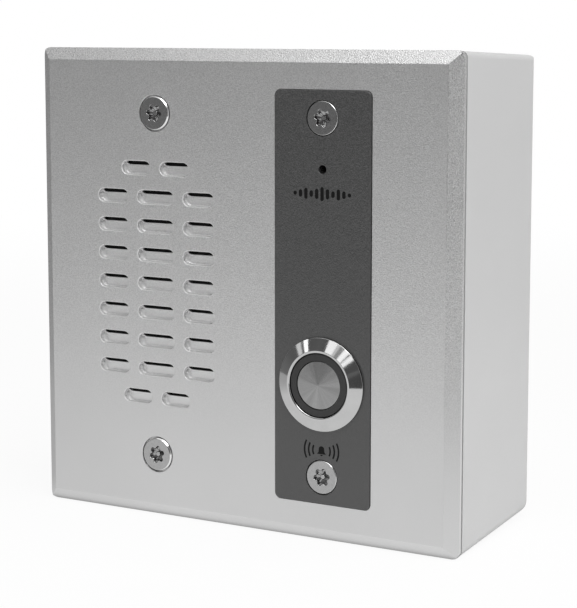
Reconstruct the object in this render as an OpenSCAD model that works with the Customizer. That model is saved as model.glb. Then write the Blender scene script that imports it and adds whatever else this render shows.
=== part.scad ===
// Audio intercom panel for a wall: louvred speaker grille, label strip, microphone and call button
// X runs to the right, Y from the front to the wall, Z up; the origin is the centre of the wall face
// All sizes are in millimetres

/* [Front panel] */
// Width of the front panel
panel_w = 114.3; // [113:0.1:130]
// Height of the front panel
panel_h = 114.3; // [113:0.1:130]
// Thickness of the front panel
panel_t = 3; // [2.8:0.1:4.5]
// Width of the edge bevel, seen from the front
bevel_w = 3; // [1:0.1:5]
// Depth of the edge bevel
bevel_d = 2.2; // [0.5:0.1:2.6]
// Corner radius of the panel outline
panel_r = 1.8; // [0.5:0.1:3]
// Wall left between the front face and the pocket behind the louvres
grille_wall = 1.5; // [1:0.1:1.7]
// Thickness of the locating rim on the back of the panel
rim_t = 1.5; // [1:0.1:2]
// Height of the locating rim
rim_h = 3; // [1:0.1:4]

/* [Seam] */
// Open seam between panel and box, where the gasket lies
seam = 1; // [0.3:0.1:1.5]
// How far the gasket lies back from the outside of the box
gasket_inset = 1; // [0.3:0.1:1.1]
// Width of the gasket band
gasket_w = 1.4; // [0.8:0.1:1.5]

/* [Back box] */
// Depth of the box from the wall to the seam
box_d = 42; // [41.6:0.1:60]
// How far the box stays inside the panel edge at the seam
box_inset = 0.15; // [0.1:0.05:1]
// How much the box draws in on each side by the time it meets the wall
box_draft = 1.5; // [0:0.1:2.5]
// Thickness of the side walls
box_wall = 2.5; // [2.4:0.1:3]
// Thickness of the floor against the wall
box_floor = 3; // [2.4:0.1:4]
// Radius of the lower rear edge
box_low_r = 5; // [1:0.5:6]
// Radius of the other rear edges
box_rear_r = 1.2; // [0.5:0.1:2]
// Radius of the box corners
box_corner_r = 1.5; // [0.5:0.1:2]
// Diameter of the four panel screw bosses
boss_d = 9; // [7:0.5:9.5]
// Thickness of the ribs that tie the bosses to the walls
rib_t = 2; // [1:0.1:4]
// How far the ribs start behind the seam
rib_back = 5; // [4:0.5:20]
// Spacing of the wall screw holes, across
wall_dx = 84; // [76:1:94]
// Spacing of the wall screw holes, up and down
wall_dz = 84; // [72:1:92]
// Diameter of the wall screw holes
wall_hole_d = 5; // [3:0.1:7]

/* [Label strip] */
// Width of the label strip
strip_w = 25.1; // [24:0.1:34]
// Height of the label strip
strip_h = 96; // [94:0.5:104]
// Thickness of the label strip
strip_t = 0.9; // [0.6:0.05:1.4]
// How far the strip stands proud of the panel
strip_proud = 0.3; // [0.05:0.05:0.5]
// Corner radius of the strip
strip_r = 1.4; // [0.5:0.1:4]
// Chamfer on the front edge of the strip
strip_edge = 0.25; // [0.05:0.05:0.5]
// Distance of the microphone hole below the upper screws
mic_drop = 11.67; // [11.2:0.01:16]
// Diameter of the microphone hole
mic_d = 2; // [0.8:0.1:3]

/* [Panel screws] */
// Spacing of the panel screws, across
screw_dx = 46.04; // [45.5:0.02:47]
// Spacing of the panel screws, up and down
screw_dz = 83.34; // [83:0.02:86]
// Shank diameter
screw_d = 4; // [3:0.1:4.5]
// Overall length of a screw
screw_len = 14; // [8:0.5:30]
// Head diameter
screw_head_d = 8; // [7:0.1:8.6]
// Straight edge at the rim of the head
screw_land = 0.15; // [0.05:0.05:0.3]
// How far the head lies below the panel face
screw_sink = 0.1; // [0:0.05:0.3]
// Size of the six-lobe recess across its lobes
lobe_d = 4.05; // [3:0.05:4.6]
// Depth of the six-lobe recess
lobe_depth = 1.7; // [0.5:0.1:2.5]
// Radius of one lobe
lobe_r = 0.55; // [0.4:0.05:0.7]
// Diameter of the security pin in the recess
lobe_pin_d = 1.3; // [0.6:0.1:1.6]

/* [Louvred grille] */
// Height of the middle of the grille
grille_z = 0.4; // [-0.6:0.1:0.6]
// Height of one louvre opening in the face
louvre_h = 3.3; // [2:0.1:4.5]
// Length of the louvres in the middle column
louvre_mid = 10.45; // [6:0.05:13]
// Length of the louvres in the side columns
louvre_side = 8.7; // [6:0.05:10]
// Length of the louvres in the two short rows
louvre_end = 8.2; // [6:0.05:10]
// Rows of three louvres, between the two short rows
louvre_rows = 7; // [3:2:7]
// Spacing of the rows
row_pitch = 7; // [6:0.1:7.2]
// Spacing of the three columns
column_pitch = 12.3; // [11.5:0.1:12.8]
// Distance of the louvres in the short rows from the middle of the grille
short_row_x = 5.5; // [5.3:0.1:8]
// How far the slots of the baffle plate lie above the louvres
baffle_shift = 2.3; // [1:0.05:3.2]
// Thickness of the baffle plate behind the louvres
baffle_t = 0.8; // [0.5:0.05:0.95]
// Border of the rear pocket around the louvres
pocket_margin = 1.85; // [0.5:0.05:2.4]
// Thickness of the mesh behind the baffle plate
mesh_t = 0.4; // [0.2:0.05:0.55]

/* [Call button] */
// Height of the button below the middle
button_z = -19.7; // [-21:0.1:-18]
// Diameter of the threaded barrel
barrel_d = 18.8; // [17:0.1:20]
// How far the bezel reaches beyond the barrel
bezel_w = 1.6; // [1.2:0.05:2.4]
// Height of the bezel above the strip
bezel_h = 1.9; // [1.4:0.1:3]
// Straight rim at the foot of the bezel
bezel_rim = 0.6; // [0.5:0.05:0.9]
// Wall of the barrel
barrel_wall = 1.15; // [0.8:0.05:1.3]
// Width of the stop shoulder in the barrel
shoulder_w = 0.7; // [0.6:0.05:1]
// Width of the flat lip at the top of the bezel
lip_w = 0.6; // [0.3:0.05:1.2]
// Length of the barrel behind the strip
barrel_len = 20; // [18:0.5:21]
// Depth of the stop shoulder behind the front of the strip
shoulder_depth = 5; // [4:0.1:5.4]
// Button travel
travel = 2; // [0.5:0.1:2.4]
// Width of the light ring between the lip and the spun cap
ring_w = 1.85; // [1:0.05:2.5]
// Thickness of the cap plate
cap_t = 1; // [0.5:0.1:1.4]
// Stem diameter of the cap
cap_stem_d = 3.2; // [2:0.1:5]
// Length of the cap stem
cap_stem_len = 3.6; // [1:0.1:4]
// How far the light ring lies below the lip
ring_sink = 0.3; // [0:0.05:0.8]
// Height of the light ring
ring_h = 2.6; // [1.5:0.1:3]
// Thickness of the stop flange on the plunger
plunger_flange_t = 1.25; // [0.8:0.05:1.6]
// Width of the stop flange beyond the opening
plunger_flange_w = 0.45; // [0.3:0.05:0.5]
// Depth of the spring seat in the plunger
spring_seat = 1.9; // [0.5:0.1:2]
// Mean diameter of the return spring
spring_d = 6; // [5.6:0.1:7]
// Spring wire diameter
spring_wire = 0.6; // [0.4:0.05:0.8]
// Turns of the return spring
spring_turns = 6; // [4:1:8]
// Thickness of the contact bridge
bridge_t = 0.4; // [0.2:0.05:0.6]
// Width of the contact bridge
bridge_w = 1.6; // [1:0.1:2]
// How far the contact bridge lies inside the opening
bridge_inset = 0.75; // [0.3:0.05:1]
// Depth of the spring well in the contact block
well_depth = 5; // [2:0.1:7]
// How far the rear flange of the contact block lies inside the barrel outline
block_flange_inset = 0.4; // [0.1:0.05:0.9]
// Thickness of that flange
block_flange_t = 4; // [2:0.1:4.5]
// Width of a solder terminal
tag_w = 2.8; // [1.5:0.1:3]
// Thickness of a solder terminal
tag_t = 0.5; // [0.3:0.05:0.8]
// Length of a solder terminal behind the contact block
tag_len = 3.5; // [2:0.1:4]
// How far the corners of the hex nut reach beyond the barrel
nut_w = 3.3; // [2.5:0.05:3.6]
// Hex nut thickness
nut_t = 3.5; // [2:0.1:5]
// How far the lock washer reaches beyond the barrel
washer_w = 2.35; // [1.2:0.05:3]
// Lock washer thickness
washer_t = 0.8; // [0.4:0.1:1.5]
// Thickness of the seal under the bezel
seal_t = 0.4; // [0.2:0.05:0.45]
// Width of the seal
seal_w = 0.8; // [0.4:0.05:0.9]

/* [Microphone] */
// Diameter of the microphone capsule
capsule_d = 6; // [4:0.1:6.4]
// Length of the microphone capsule
capsule_len = 5.2; // [2.5:0.1:7]
// Wall of the rubber boot
boot_wall = 1.5; // [0.8:0.1:1.6]
// Thickness of the boot in front of the capsule
boot_front = 1; // [0.5:0.1:2]
// Wall of the boot holder on the panel
holder_wall = 1.2; // [0.8:0.1:1.3]
// Height of the boot holder
holder_h = 4; // [2:0.1:6]

/* [Speaker] */
// Room between the speaker and the pieces beside it
speaker_gap = 0.68; // [0.3:0.02:2]
// Width of the basket flange
flange_w = 3.5; // [3:0.1:4]
// Thickness of the basket flange
flange_t = 1.2; // [0.8:0.1:1.4]
// Thickness of the foam gasket in front of the speaker
foam_t = 1; // [0.5:0.1:2]
// How far the foam gasket stays back from the open front of the basket
foam_ease = 0.2; // [0:0.05:1]
// Border of the foam gasket around the rear pocket of the panel
foam_border = 2; // [1:0.1:2.1]
// Gap between the edge of the cone and the roll of the surround
cone_edge_gap = 0.1; // [0.05:0.05:1]
// Thickness of the cone paper
cone_t = 0.4; // [0.2:0.05:0.5]
// Depth of the cone from its outer edge to its neck
cone_depth = 6.1; // [4:0.1:6.2]
// Radius of the surround roll, to the middle of its sheet
roll_r = 1; // [0.9:0.02:1.04]
// Thickness of the surround sheet
roll_t = 0.3; // [0.1:0.05:0.35]
// How far the dust cap reaches beyond the voice coil
dust_border = 1.05; // [0.6:0.05:4]
// Height of the dust cap dome
dust_h = 2.25; // [1:0.05:4]
// Inner diameter of the voice coil former
coil_d = 14.1; // [13.8:0.05:14.2]
// Wall of the voice coil former
former_t = 0.3; // [0.1:0.05:0.4]
// Thickness of the winding on the former
winding_t = 0.4; // [0.2:0.05:0.6]
// Length of the winding
winding_len = 3.2; // [2:0.1:4.5]
// Thickness of the spider cloth
spider_t = 0.3; // [0.2:0.05:0.4]
// Wave height of the spider
spider_wave = 0.25; // [0.1:0.05:0.3]
// Air between the pole and the voice coil
pole_gap = 0.45; // [0.3:0.05:0.8]
// Air between the winding and the top plate
coil_gap = 0.35; // [0.3:0.05:0.8]
// Diameter of the top plate and of the yoke
plate_d = 30; // [27:0.1:32]
// Thickness of the top plate and of the yoke disc
plate_t = 2.5; // [1.5:0.1:3]
// Outer diameter of the ring magnet
magnet_d = 33; // [28:0.1:33.4]
// How far the bore of the magnet lies back from the magnet gap
magnet_recess = 1.4; // [0.5:0.1:2.5]
// Thickness of the ring magnet
magnet_t = 6; // [3:0.1:6.6]
// Room between the speaker and the clamp bosses
clamp_gap = 1; // [0.7:0.05:1.2]
// Diameter of the clamp bosses on the panel
clamp_boss_d = 5; // [4:0.1:5.2]
// Thickness of the speaker clamps
clamp_t = 1; // [0.5:0.1:1.5]
// Width of the speaker clamps
clamp_w = 6; // [5:0.1:7]

/* [Circuit board] */
// Width of the circuit board
board_w = 80; // [79:0.5:82]
// Height of the circuit board
board_h = 58; // [57:0.5:60]
// Thickness of the circuit board
board_t = 1.6; // [0.8:0.1:2.2]
// Height of the middle of the board
board_z = 5; // [4.5:0.1:5.4]
// Height of the posts under the board
post_h = 7.5; // [4:0.1:7.8]
// Diameter of the posts
post_d = 7; // [5:0.1:8]
// Distance of the board screws from the board edges
board_inset = 4; // [3:0.1:4.4]
// Width of the network jack
jack_w = 16; // [15:0.1:16.6]
// Height of the network jack above the board
jack_h = 13.4; // [12:0.1:15]
// Length of the network jack
jack_len = 21; // [18:0.1:22]
// Wire ways in the terminal block
block_ways = 4; // [2:1:4]
// Spacing of the wire ways
way_pitch = 5; // [3.5:0.1:5.2]
// Height of the terminal block above the board
ways_h = 10; // [7:0.1:11]
// Depth of the terminal block
ways_depth = 7.5; // [6:0.1:7.8]
// Diameter of the capacitors
can_d = 8; // [5:0.1:8.6]
// Height of the capacitors
can_h = 10; // [6:0.1:14]

/* [Cable entry] */
// Height of the cable entry below the middle
entry_z = -36; // [-38:0.5:-33]
// Diameter of the hole in the box floor
entry_d = 16; // [12:0.5:17]
// Bore of the grommet
grommet_bore_d = 10; // [4:0.5:11]
// Width of the grommet flanges beyond the hole
grommet_flange_w = 2.5; // [1:0.1:3]
// Thickness of the grommet flanges
grommet_flange_t = 1.2; // [0.6:0.1:1.4]

/* [Clearances] */
// Clearance between pieces that are fitted together and stay still
fit_gap = 0.05; // [0.02:0.01:0.08]
// Clearance round pieces that slide
slide_gap = 0.13; // [0.05:0.01:0.2]
// Clearance round the strip, the mesh and the rim in their pockets
pocket_gap = 0.1; // [0.05:0.01:0.2]
// Clearance round a screw shank in its hole
shank_gap = 0.15; // [0.05:0.01:0.3]
// Clearance round the screw heads in the label strip
head_gap = 0.25; // [0.2:0.05:0.6]
// Clearance between the locating rim and the box
rim_gap = 0.4; // [0.2:0.05:0.5]
// Air left between contact bridge and contact block when the button is pressed home
contact_gap = 0.3; // [0.3:0.05:0.6]

/* [Hidden] */
$fn = 64;
// How far a cutting shape runs past the surface that it opens
cut = 1;

// Main planes along Y
front_y = -(panel_t + seam + box_d);
panel_back = front_y + panel_t;
box_front = panel_back + seam;
floor_y = -box_floor;
strip_front = front_y - strip_proud;
strip_back = strip_front + strip_t;

// Outlines of the box at the seam, outside and inside
box_w = panel_w - 2 * box_inset;
box_h = panel_h - 2 * box_inset;
box_in_w = box_w - 2 * box_wall;
box_in_h = box_h - 2 * box_wall;

// The strip, button, microphone and right-hand screws share one line; the grille and speaker the other
strip_x = screw_dx / 2;
speaker_x = -screw_dx / 2;
mic_z = screw_dz / 2 - mic_drop;

// Louvre places
short_row_z = (louvre_rows + 1) / 2 * row_pitch;
pocket_w = 2 * column_pitch + louvre_side + 2 * pocket_margin;
pocket_low = -short_row_z - louvre_h / 2 - pocket_margin;
pocket_high = short_row_z + louvre_h / 2 + baffle_shift + pocket_margin;
pocket_h = pocket_high - pocket_low;
pocket_z = grille_z + (pocket_high + pocket_low) / 2;
pocket_r = 3;

// Panel screw seat: the head rests on a cone of 45 degrees to the axis
head_r = screw_head_d / 2;
seat_r = head_r + screw_sink + screw_land + fit_gap;
shank_hole_r = screw_d / 2 + shank_gap;
thread_gap = 0.1;
screw_tip_room = 1.5;

// Button planes, measured back from the front of the strip
bezel_d = barrel_d + 2 * bezel_w;
bore_r = barrel_d / 2 - barrel_wall;
opening_r = bore_r - shoulder_w;
lip_r = opening_r + lip_w;
plunger_r = opening_r - slide_gap;
cap_r = opening_r - ring_w;
ring_front = -bezel_h + ring_sink;
ring_back = ring_front + ring_h;
post_front = -bezel_h + cap_t;
flange_front = shoulder_depth + fit_gap;
flange_back = flange_front + plunger_flange_t;
spring_front = flange_back - spring_seat;
block_front = flange_back + bridge_t + travel + contact_gap;
spring_back = block_front + well_depth;
spring_room_r = spring_d / 2 + spring_wire / 2 + slide_gap;
tag_radius = (spring_room_r + bore_r) / 2;
nut_corners = barrel_d + 2 * nut_w;
block_back = barrel_len + block_flange_t;
panel_hole_d = barrel_d + 2 * pocket_gap;

// The speaker fills the room between the locating rim and the nut of the button
rim_out_w = box_in_w - 2 * rim_gap;
rim_out_h = box_in_h - 2 * rim_gap;
speaker_room = min(rim_out_w / 2 - rim_t + speaker_x, screw_dx - nut_corners / 2);
speaker_r = speaker_room - speaker_gap;

// Speaker planes, measured back from the back of the panel
basket_front = foam_t;
flange_back_h = basket_front + flange_t;
flange_in_r = speaker_r - flange_w;
flange_fold_w = 1.8;
ledge_w = 1.4;
ledge_r = flange_in_r - ledge_w;
ledge_t = 1;
ledge_depth = 0.6;
spider_depth = 8;
spider_ledge = basket_front + spider_depth;
spider_ledge_in_r = 14.2;
spider_ledge_out_r = 16.6;
basket_wall = 1.2;
basket_neck_len = 3.2;
basket_end_t = 1;
basket_floor_h = spider_ledge + basket_neck_len;
motor_front = basket_floor_h + basket_end_t;
magnet_front = motor_front + plate_t;
yoke_front = magnet_front + magnet_t;
yoke_back = yoke_front + plate_t;
former_r = coil_d / 2 + former_t;
gap_r = former_r + winding_t + coil_gap;
roll_h = basket_front + ledge_depth;
roll_half = roll_r + roll_t / 2;
roll_mid = ledge_r - roll_half;
cone_r = roll_mid - roll_half - cone_edge_gap;
cone_sink = 0.9;
cone_front = basket_front + cone_sink;
cone_neck = cone_front + cone_depth;
cone_neck_r = former_r + 2 * fit_gap;
clamp_radius = speaker_r + clamp_gap + clamp_boss_d / 2;
clamp_angles = [42, 138, 222, 318];
clamp_screw_d = 2.5;
clamp_screw_head_d = 4.5;
clamp_screw_head_t = 1.6;
clamp_screw_grip = 1.2;

// Board planes and parts
board_back = floor_y - post_h;
board_front = board_back - board_t;
board_screw_d = 2.9;
board_screw_head_d = 5.5;
board_screw_head_t = 2;
jack_x = (speaker_x + magnet_d / 2 + strip_x - barrel_d / 2) / 2;
board_hole_x = board_w / 2 - board_inset;
board_hole_z = board_h / 2 - board_inset;

// A plate across Y, from y0 towards the wall, with its outline drawn in X and Z
module plate(y0, thickness) {
  translate([0, y0 + thickness, 0])
    rotate([90, 0, 0])
      linear_extrude(thickness)
        children();
}

// A body turned about an axis along Y, with its profile drawn as radius and depth behind y0
module turned(x, z, y0) {
  translate([x, y0, z])
    rotate([-90, 0, 0])
      rotate_extrude()
        children();
}

// A round bar or hole along Y
module bar(x, z, y0, length, d) {
  translate([x, y0, z])
    rotate([-90, 0, 0])
      cylinder(h = length, d = d);
}

// A block on the front of the circuit board, its middle at x across and z above the middle of the board
module board_block(x, z, w, t, h) {
  translate([x - w / 2, board_front - t, board_z + z - h / 2])
    cube([w, t, h]);
}

module rounded_rect(w, h, r) {
  square([w - 2 * r, h], center = true);
  square([w, h - 2 * r], center = true);
  for (sx = [-1, 1], sz = [-1, 1])
    translate([sx * (w / 2 - r), sz * (h / 2 - r)])
      circle(r);
}

module obround(length, h) {
  square([length - h, h], center = true);
  for (s = [-1, 1])
    translate([s * (length - h) / 2, 0])
      circle(d = h);
}

// Copies at the four panel screws
module at_panel_screws() {
  for (sx = [-1, 1], sz = [-1, 1])
    translate([sx * screw_dx / 2, 0, sz * screw_dz / 2])
      children();
}

// Copies at the four board screws
module at_board_screws() {
  for (sx = [-1, 1], sz = [-1, 1])
    translate([sx * board_hole_x, 0, board_z + sz * board_hole_z])
      children();
}

// Copies at the speaker clamps, with local X pointing away from the speaker axis
module at_clamps() {
  for (a = clamp_angles)
    translate([speaker_x, 0, grille_z])
      rotate([0, -a, 0])
        translate([clamp_radius, 0, 0])
          children();
}

// A plate whose four front edges are bevelled, with mitred corners and a rounded outline
module bevelled_plate(w, h, t, r, edge_w, edge_d, y0) {
  intersection() {
    plate(y0, t)
      rounded_rect(w, h, r);
    linear_extrude(h + cut, center = true)
      bevel_profile(w, t, edge_w, edge_d, y0);
    rotate([0, -90, 0])
      linear_extrude(w + cut, center = true)
        bevel_profile(h, t, edge_w, edge_d, y0);
  }
}

module bevel_profile(w, t, edge_w, edge_d, y0) {
  polygon([
    [-w / 2, y0 + t],
    [-w / 2, y0 + edge_d],
    [-w / 2 + edge_w, y0],
    [w / 2 - edge_w, y0],
    [w / 2, y0 + edge_d],
    [w / 2, y0 + t],
  ]);
}

// Outlines of all louvres, about the middle of the grille
module louvre_outlines() {
  for (row = [-(louvre_rows - 1) / 2 : (louvre_rows - 1) / 2])
    for (column = [-1, 0, 1])
      translate([column * column_pitch, row * row_pitch])
        obround(column == 0 ? louvre_mid : louvre_side, louvre_h);
  for (end = [-1, 1], side = [-1, 1])
    translate([side * short_row_x, end * short_row_z])
      obround(louvre_end, louvre_h);
}

// The louvres as straight slots through a wall that starts at y0, raised by a shift
module louvre_slots(y0, wall, shift) {
  plate(y0 - cut, wall + 2 * cut)
    translate([speaker_x, grille_z + shift])
      louvre_outlines();
}

// Conical seat and shank hole for one panel screw
module screw_seat() {
  turned(0, 0, front_y)
    polygon([
      [0, -cut],
      [seat_r, -cut],
      [seat_r, 0],
      [shank_hole_r, seat_r - shank_hole_r],
      [shank_hole_r, panel_t + cut],
      [0, panel_t + cut],
    ]);
}

// Die-cast front panel with louvres, strip pocket, screw seats, locating rim and bosses
module front_panel() {
  color([0.66, 0.66, 0.66])
    difference() {
      union() {
        bevelled_plate(panel_w, panel_h, panel_t, panel_r, bevel_w, bevel_d, front_y);
        plate(panel_back, rim_h)
          difference() {
            rounded_rect(rim_out_w, rim_out_h, box_corner_r);
            square([rim_out_w - 2 * rim_t, rim_out_h - 2 * rim_t], center = true);
          }
        at_clamps()
          bar(0, 0, panel_back, flange_back_h, clamp_boss_d);
        bar(strip_x, mic_z, panel_back, holder_h, capsule_d + 2 * (boot_wall + fit_gap + holder_wall));
      }
      plate(strip_back - 2 * cut, 2 * cut)
        translate([strip_x, 0])
          rounded_rect(strip_w + 2 * pocket_gap, strip_h + 2 * pocket_gap, strip_r + pocket_gap);
      plate(front_y + grille_wall, panel_t)
        translate([speaker_x, pocket_z])
          rounded_rect(pocket_w, pocket_h, pocket_r);
      louvre_slots(front_y, grille_wall, 0);
      at_panel_screws()
        screw_seat();
      bar(strip_x, button_z, front_y - cut, panel_t + 2 * cut, panel_hole_d);
      bar(strip_x, mic_z, front_y - cut, panel_t + 2 * cut, mic_d);
      bar(strip_x, mic_z, panel_back, holder_h + cut, capsule_d + 2 * (boot_wall + fit_gap));
      at_clamps()
        bar(0, 0, panel_back - clamp_screw_grip - thread_gap, flange_back_h + 3 * cut,
          clamp_screw_d + 2 * thread_gap);
    }
}

// Dark label strip, let into the panel, with holes for screws, microphone and button
module label_strip() {
  color([0.26, 0.26, 0.27])
    difference() {
      translate([strip_x, 0, 0])
        bevelled_plate(strip_w, strip_h, strip_t, strip_r, strip_edge, strip_edge, strip_front);
      for (sz = [-1, 1])
        bar(strip_x, sz * screw_dz / 2, strip_front - cut, strip_t + 2 * cut, screw_head_d + 2 * head_gap);
      bar(strip_x, mic_z, strip_front - cut, strip_t + 2 * cut, mic_d);
      bar(strip_x, button_z, strip_front - cut, strip_t + 2 * cut, panel_hole_d);
    }
}

// A sheet that lies in the pocket behind the louvres
module pocket_sheet(y0, thickness) {
  plate(y0, thickness)
    translate([speaker_x, pocket_z])
      rounded_rect(pocket_w - 2 * pocket_gap, pocket_h - 2 * pocket_gap, pocket_r - pocket_gap);
}

// Baffle plate in the pocket: its slots lie above the louvres, so that nothing can be poked through
module grille_baffle() {
  color([0.66, 0.66, 0.66])
    difference() {
      pocket_sheet(front_y + grille_wall, baffle_t);
      louvre_slots(front_y + grille_wall, baffle_t, baffle_shift);
    }
}

// Fine woven mesh on the back of the baffle plate
module grille_mesh() {
  color([0.08, 0.08, 0.08])
    pocket_sheet(front_y + grille_wall + baffle_t, mesh_t);
}

// Foam band in the seam, set back from the outside so that the seam shows as a dark line
module panel_gasket() {
  out_w = box_w - 2 * gasket_inset;
  out_h = box_h - 2 * gasket_inset;
  color([0.1, 0.1, 0.1])
    plate(panel_back, seam)
      difference() {
        rounded_rect(out_w, out_h, box_corner_r);
        square([out_w - 2 * gasket_w, out_h - 2 * gasket_w], center = true);
      }
}

// A corner at the origin with all but a radius taken off, to round an edge
module edge_round(r) {
  difference() {
    translate([-r, -r])
      square(r + cut);
    translate([-r, -r])
      circle(r);
  }
}

// Section of the drafted box across one side, drawn as distance across and depth
module box_section(w, inset, mouth, floor_depth, r_low, r_high) {
  half_front = w / 2 - inset;
  half_rear = half_front - box_draft;
  difference() {
    polygon([
      [-half_front, mouth],
      [half_front, mouth],
      [half_rear, floor_depth],
      [-half_rear, floor_depth],
    ]);
    translate([half_rear, floor_depth])
      edge_round(r_high);
    translate([-half_rear, floor_depth])
      mirror([1, 0])
        edge_round(r_low);
  }
}

// A bar along one corner of the drafted box, leaning in with its sides, that rounds the corner off
module corner_round(sx, sz, length, r) {
  lean = box_draft / length;
  multmatrix([[1, -sx * lean, 0, 0], [0, 1, 0, 0], [0, -sz * lean, 1, 0], [0, 0, 0, 1]])
    plate(-cut, length + 2 * cut)
      scale([sx, sz])
        edge_round(r);
}

// Solid of the drafted box from its mouth to floor_depth, drawn in by an inset on the sides
module box_solid(inset, mouth, floor_depth, r_low, r_high, r_corner) {
  difference() {
    intersection() {
      linear_extrude(box_h + cut, center = true)
        box_section(box_w, inset, mouth, floor_depth, r_high, r_high);
      rotate([0, -90, 0])
        linear_extrude(box_w + cut, center = true)
          box_section(box_h, inset, mouth, floor_depth, r_low, r_high);
    }
    for (sx = [-1, 1], sz = [-1, 1])
      translate([sx * (box_w / 2 - inset), mouth, sz * (box_h / 2 - inset)])
        corner_round(sx, sz, floor_depth - mouth, r_corner);
  }
}

// Die-cast back box: drafted shell, ribbed screw bosses, board posts, wall holes and cable entry
module back_box() {
  screw_hole_len = screw_len + screw_tip_room;
  rib_front = box_front + rib_back;
  rib_len = (box_in_h - screw_dz) / 2;
  color([0.78, 0.78, 0.78])
    difference() {
      union() {
        difference() {
          box_solid(0, box_front, 0, box_low_r, box_rear_r, box_corner_r);
          box_solid(box_wall, box_front - cut, floor_y, box_rear_r, box_rear_r, box_corner_r);
        }
        at_panel_screws()
          bar(0, 0, panel_back + fit_gap, floor_y - panel_back + cut, boss_d);
        for (sx = [-1, 1], sz = [-1, 1])
          translate([sx * screw_dx / 2 - rib_t / 2, rib_front, sz > 0 ? screw_dz / 2 : -box_in_h / 2])
            cube([rib_t, floor_y - rib_front + cut, rib_len]);
        at_board_screws()
          bar(0, 0, board_back, post_h + cut, post_d);
      }
      at_panel_screws()
        bar(0, 0, panel_back - cut, screw_hole_len + cut, screw_d + 2 * thread_gap);
      at_board_screws()
        bar(0, 0, board_back - cut, post_h + cut, board_screw_d + 2 * thread_gap);
      for (sx = [-1, 1], sz = [-1, 1])
        bar(sx * wall_dx / 2, sz * wall_dz / 2, floor_y - cut, box_floor + 2 * cut, wall_hole_d);
      bar(0, entry_z, floor_y - cut, box_floor + 2 * cut, entry_d);
      bar(0, entry_z, -grommet_flange_t, grommet_flange_t + cut,
        entry_d + 2 * grommet_flange_w + 2 * pocket_gap);
    }
}

// Countersunk six-lobe security screw, head at the panel face
module panel_screw() {
  top = screw_sink;
  shank_r = screw_d / 2;
  lobe_ring = lobe_d / 2 - lobe_r;
  difference() {
    turned(0, 0, front_y)
      polygon([
        [0, top],
        [head_r, top],
        [head_r, top + screw_land],
        [shank_r, top + screw_land + head_r - shank_r],
        [shank_r, screw_len],
        [0, screw_len],
      ]);
    plate(front_y - cut, cut + top + lobe_depth)
      difference() {
        union() {
          circle(lobe_ring);
          for (a = [0 : 60 : 300])
            translate([lobe_ring * cos(a), lobe_ring * sin(a)])
              circle(lobe_r);
        }
        circle(d = lobe_pin_d);
      }
  }
}

module panel_screws() {
  color([0.6, 0.6, 0.6])
    at_panel_screws()
      panel_screw();
}

// Rubber grommet in the cable entry, flush with the wall face
module cable_grommet() {
  bore = grommet_bore_d / 2;
  neck = entry_d / 2 - pocket_gap;
  flange = entry_d / 2 + grommet_flange_w;
  color([0.12, 0.12, 0.12])
    turned(0, entry_z, floor_y)
      polygon([
        [bore, -grommet_flange_t],
        [flange - grommet_flange_t, -grommet_flange_t],
        [flange, 0],
        [neck, 0],
        [neck, box_floor - grommet_flange_t],
        [flange, box_floor - grommet_flange_t],
        [flange, box_floor],
        [bore, box_floor],
      ]);
}

// Polished bezel with its threaded barrel, turned from one bar
module button_bezel() {
  bezel_r = bezel_d / 2;
  barrel_r = barrel_d / 2;
  seal_in = barrel_r + fit_gap;
  color([0.7, 0.7, 0.7])
    turned(strip_x, button_z, strip_front)
      difference() {
        polygon([
          [opening_r, -bezel_h],
          [lip_r, -bezel_h],
          [bezel_r, -bezel_rim],
          [bezel_r, 0],
          [barrel_r, 0],
          [barrel_r, barrel_len],
          [bore_r, barrel_len],
          [bore_r, shoulder_depth],
          [opening_r, shoulder_depth],
        ]);
        translate([seal_in, -seal_t])
          square([seal_w + fit_gap, seal_t + cut]);
      }
}

// Spun steel cap with the stem that holds it in the plunger
module button_cap() {
  stem_r = cap_stem_d / 2;
  color([0.72, 0.72, 0.72])
    turned(strip_x, button_z, strip_front)
      polygon([
        [0, -bezel_h],
        [cap_r, -bezel_h],
        [cap_r, post_front],
        [stem_r, post_front],
        [stem_r, post_front + cap_stem_len],
        [0, post_front + cap_stem_len],
      ]);
}

// Smoked light ring round the cap
module button_light_ring() {
  color([0.2, 0.2, 0.2])
    turned(strip_x, button_z, strip_front)
      translate([cap_r + fit_gap, ring_front])
        square([plunger_r - cap_r - fit_gap, ring_h]);
}

// Plunger: carries cap, ring and contact bridge, and stops against the shoulder of the barrel
module button_plunger() {
  stem_hole_r = cap_stem_d / 2 + fit_gap;
  color([0.85, 0.85, 0.82])
    turned(strip_x, button_z, strip_front)
      polygon([
        [stem_hole_r, post_front],
        [cap_r, post_front],
        [cap_r, ring_back],
        [plunger_r, ring_back],
        [plunger_r, flange_front],
        [opening_r + plunger_flange_w, flange_front],
        [opening_r + plunger_flange_w, flange_back],
        [spring_room_r, flange_back],
        [spring_room_r, spring_front],
        [stem_hole_r, spring_front],
      ]);
}

// Points of a coil of wire: rings of six points that climb along the axis
function coil_points(r, wire_r, h0, h1, turns, rings) = [
  for (i = [0 : rings], k = [0 : 5])
    let (
      a = 360 * turns * i / rings,
      ring_r = r + wire_r * cos(60 * k),
      h = h0 + (h1 - h0) * i / rings + wire_r * sin(60 * k)
    )
    [ring_r * cos(a), ring_r * sin(a), h]
];

// Triangles between the rings, and a fan on each end
function coil_faces(rings) = concat(
  [for (i = [0 : rings - 1], k = [0 : 5]) [6 * i + k, 6 * i + (k + 1) % 6, 6 * (i + 1) + k]],
  [for (i = [0 : rings - 1], k = [0 : 5]) [6 * i + (k + 1) % 6, 6 * (i + 1) + (k + 1) % 6, 6 * (i + 1) + k]],
  [for (k = [1 : 4]) [0, k + 1, k]],
  [for (k = [1 : 4]) [6 * rings, 6 * rings + k, 6 * rings + k + 1]]
);

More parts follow.
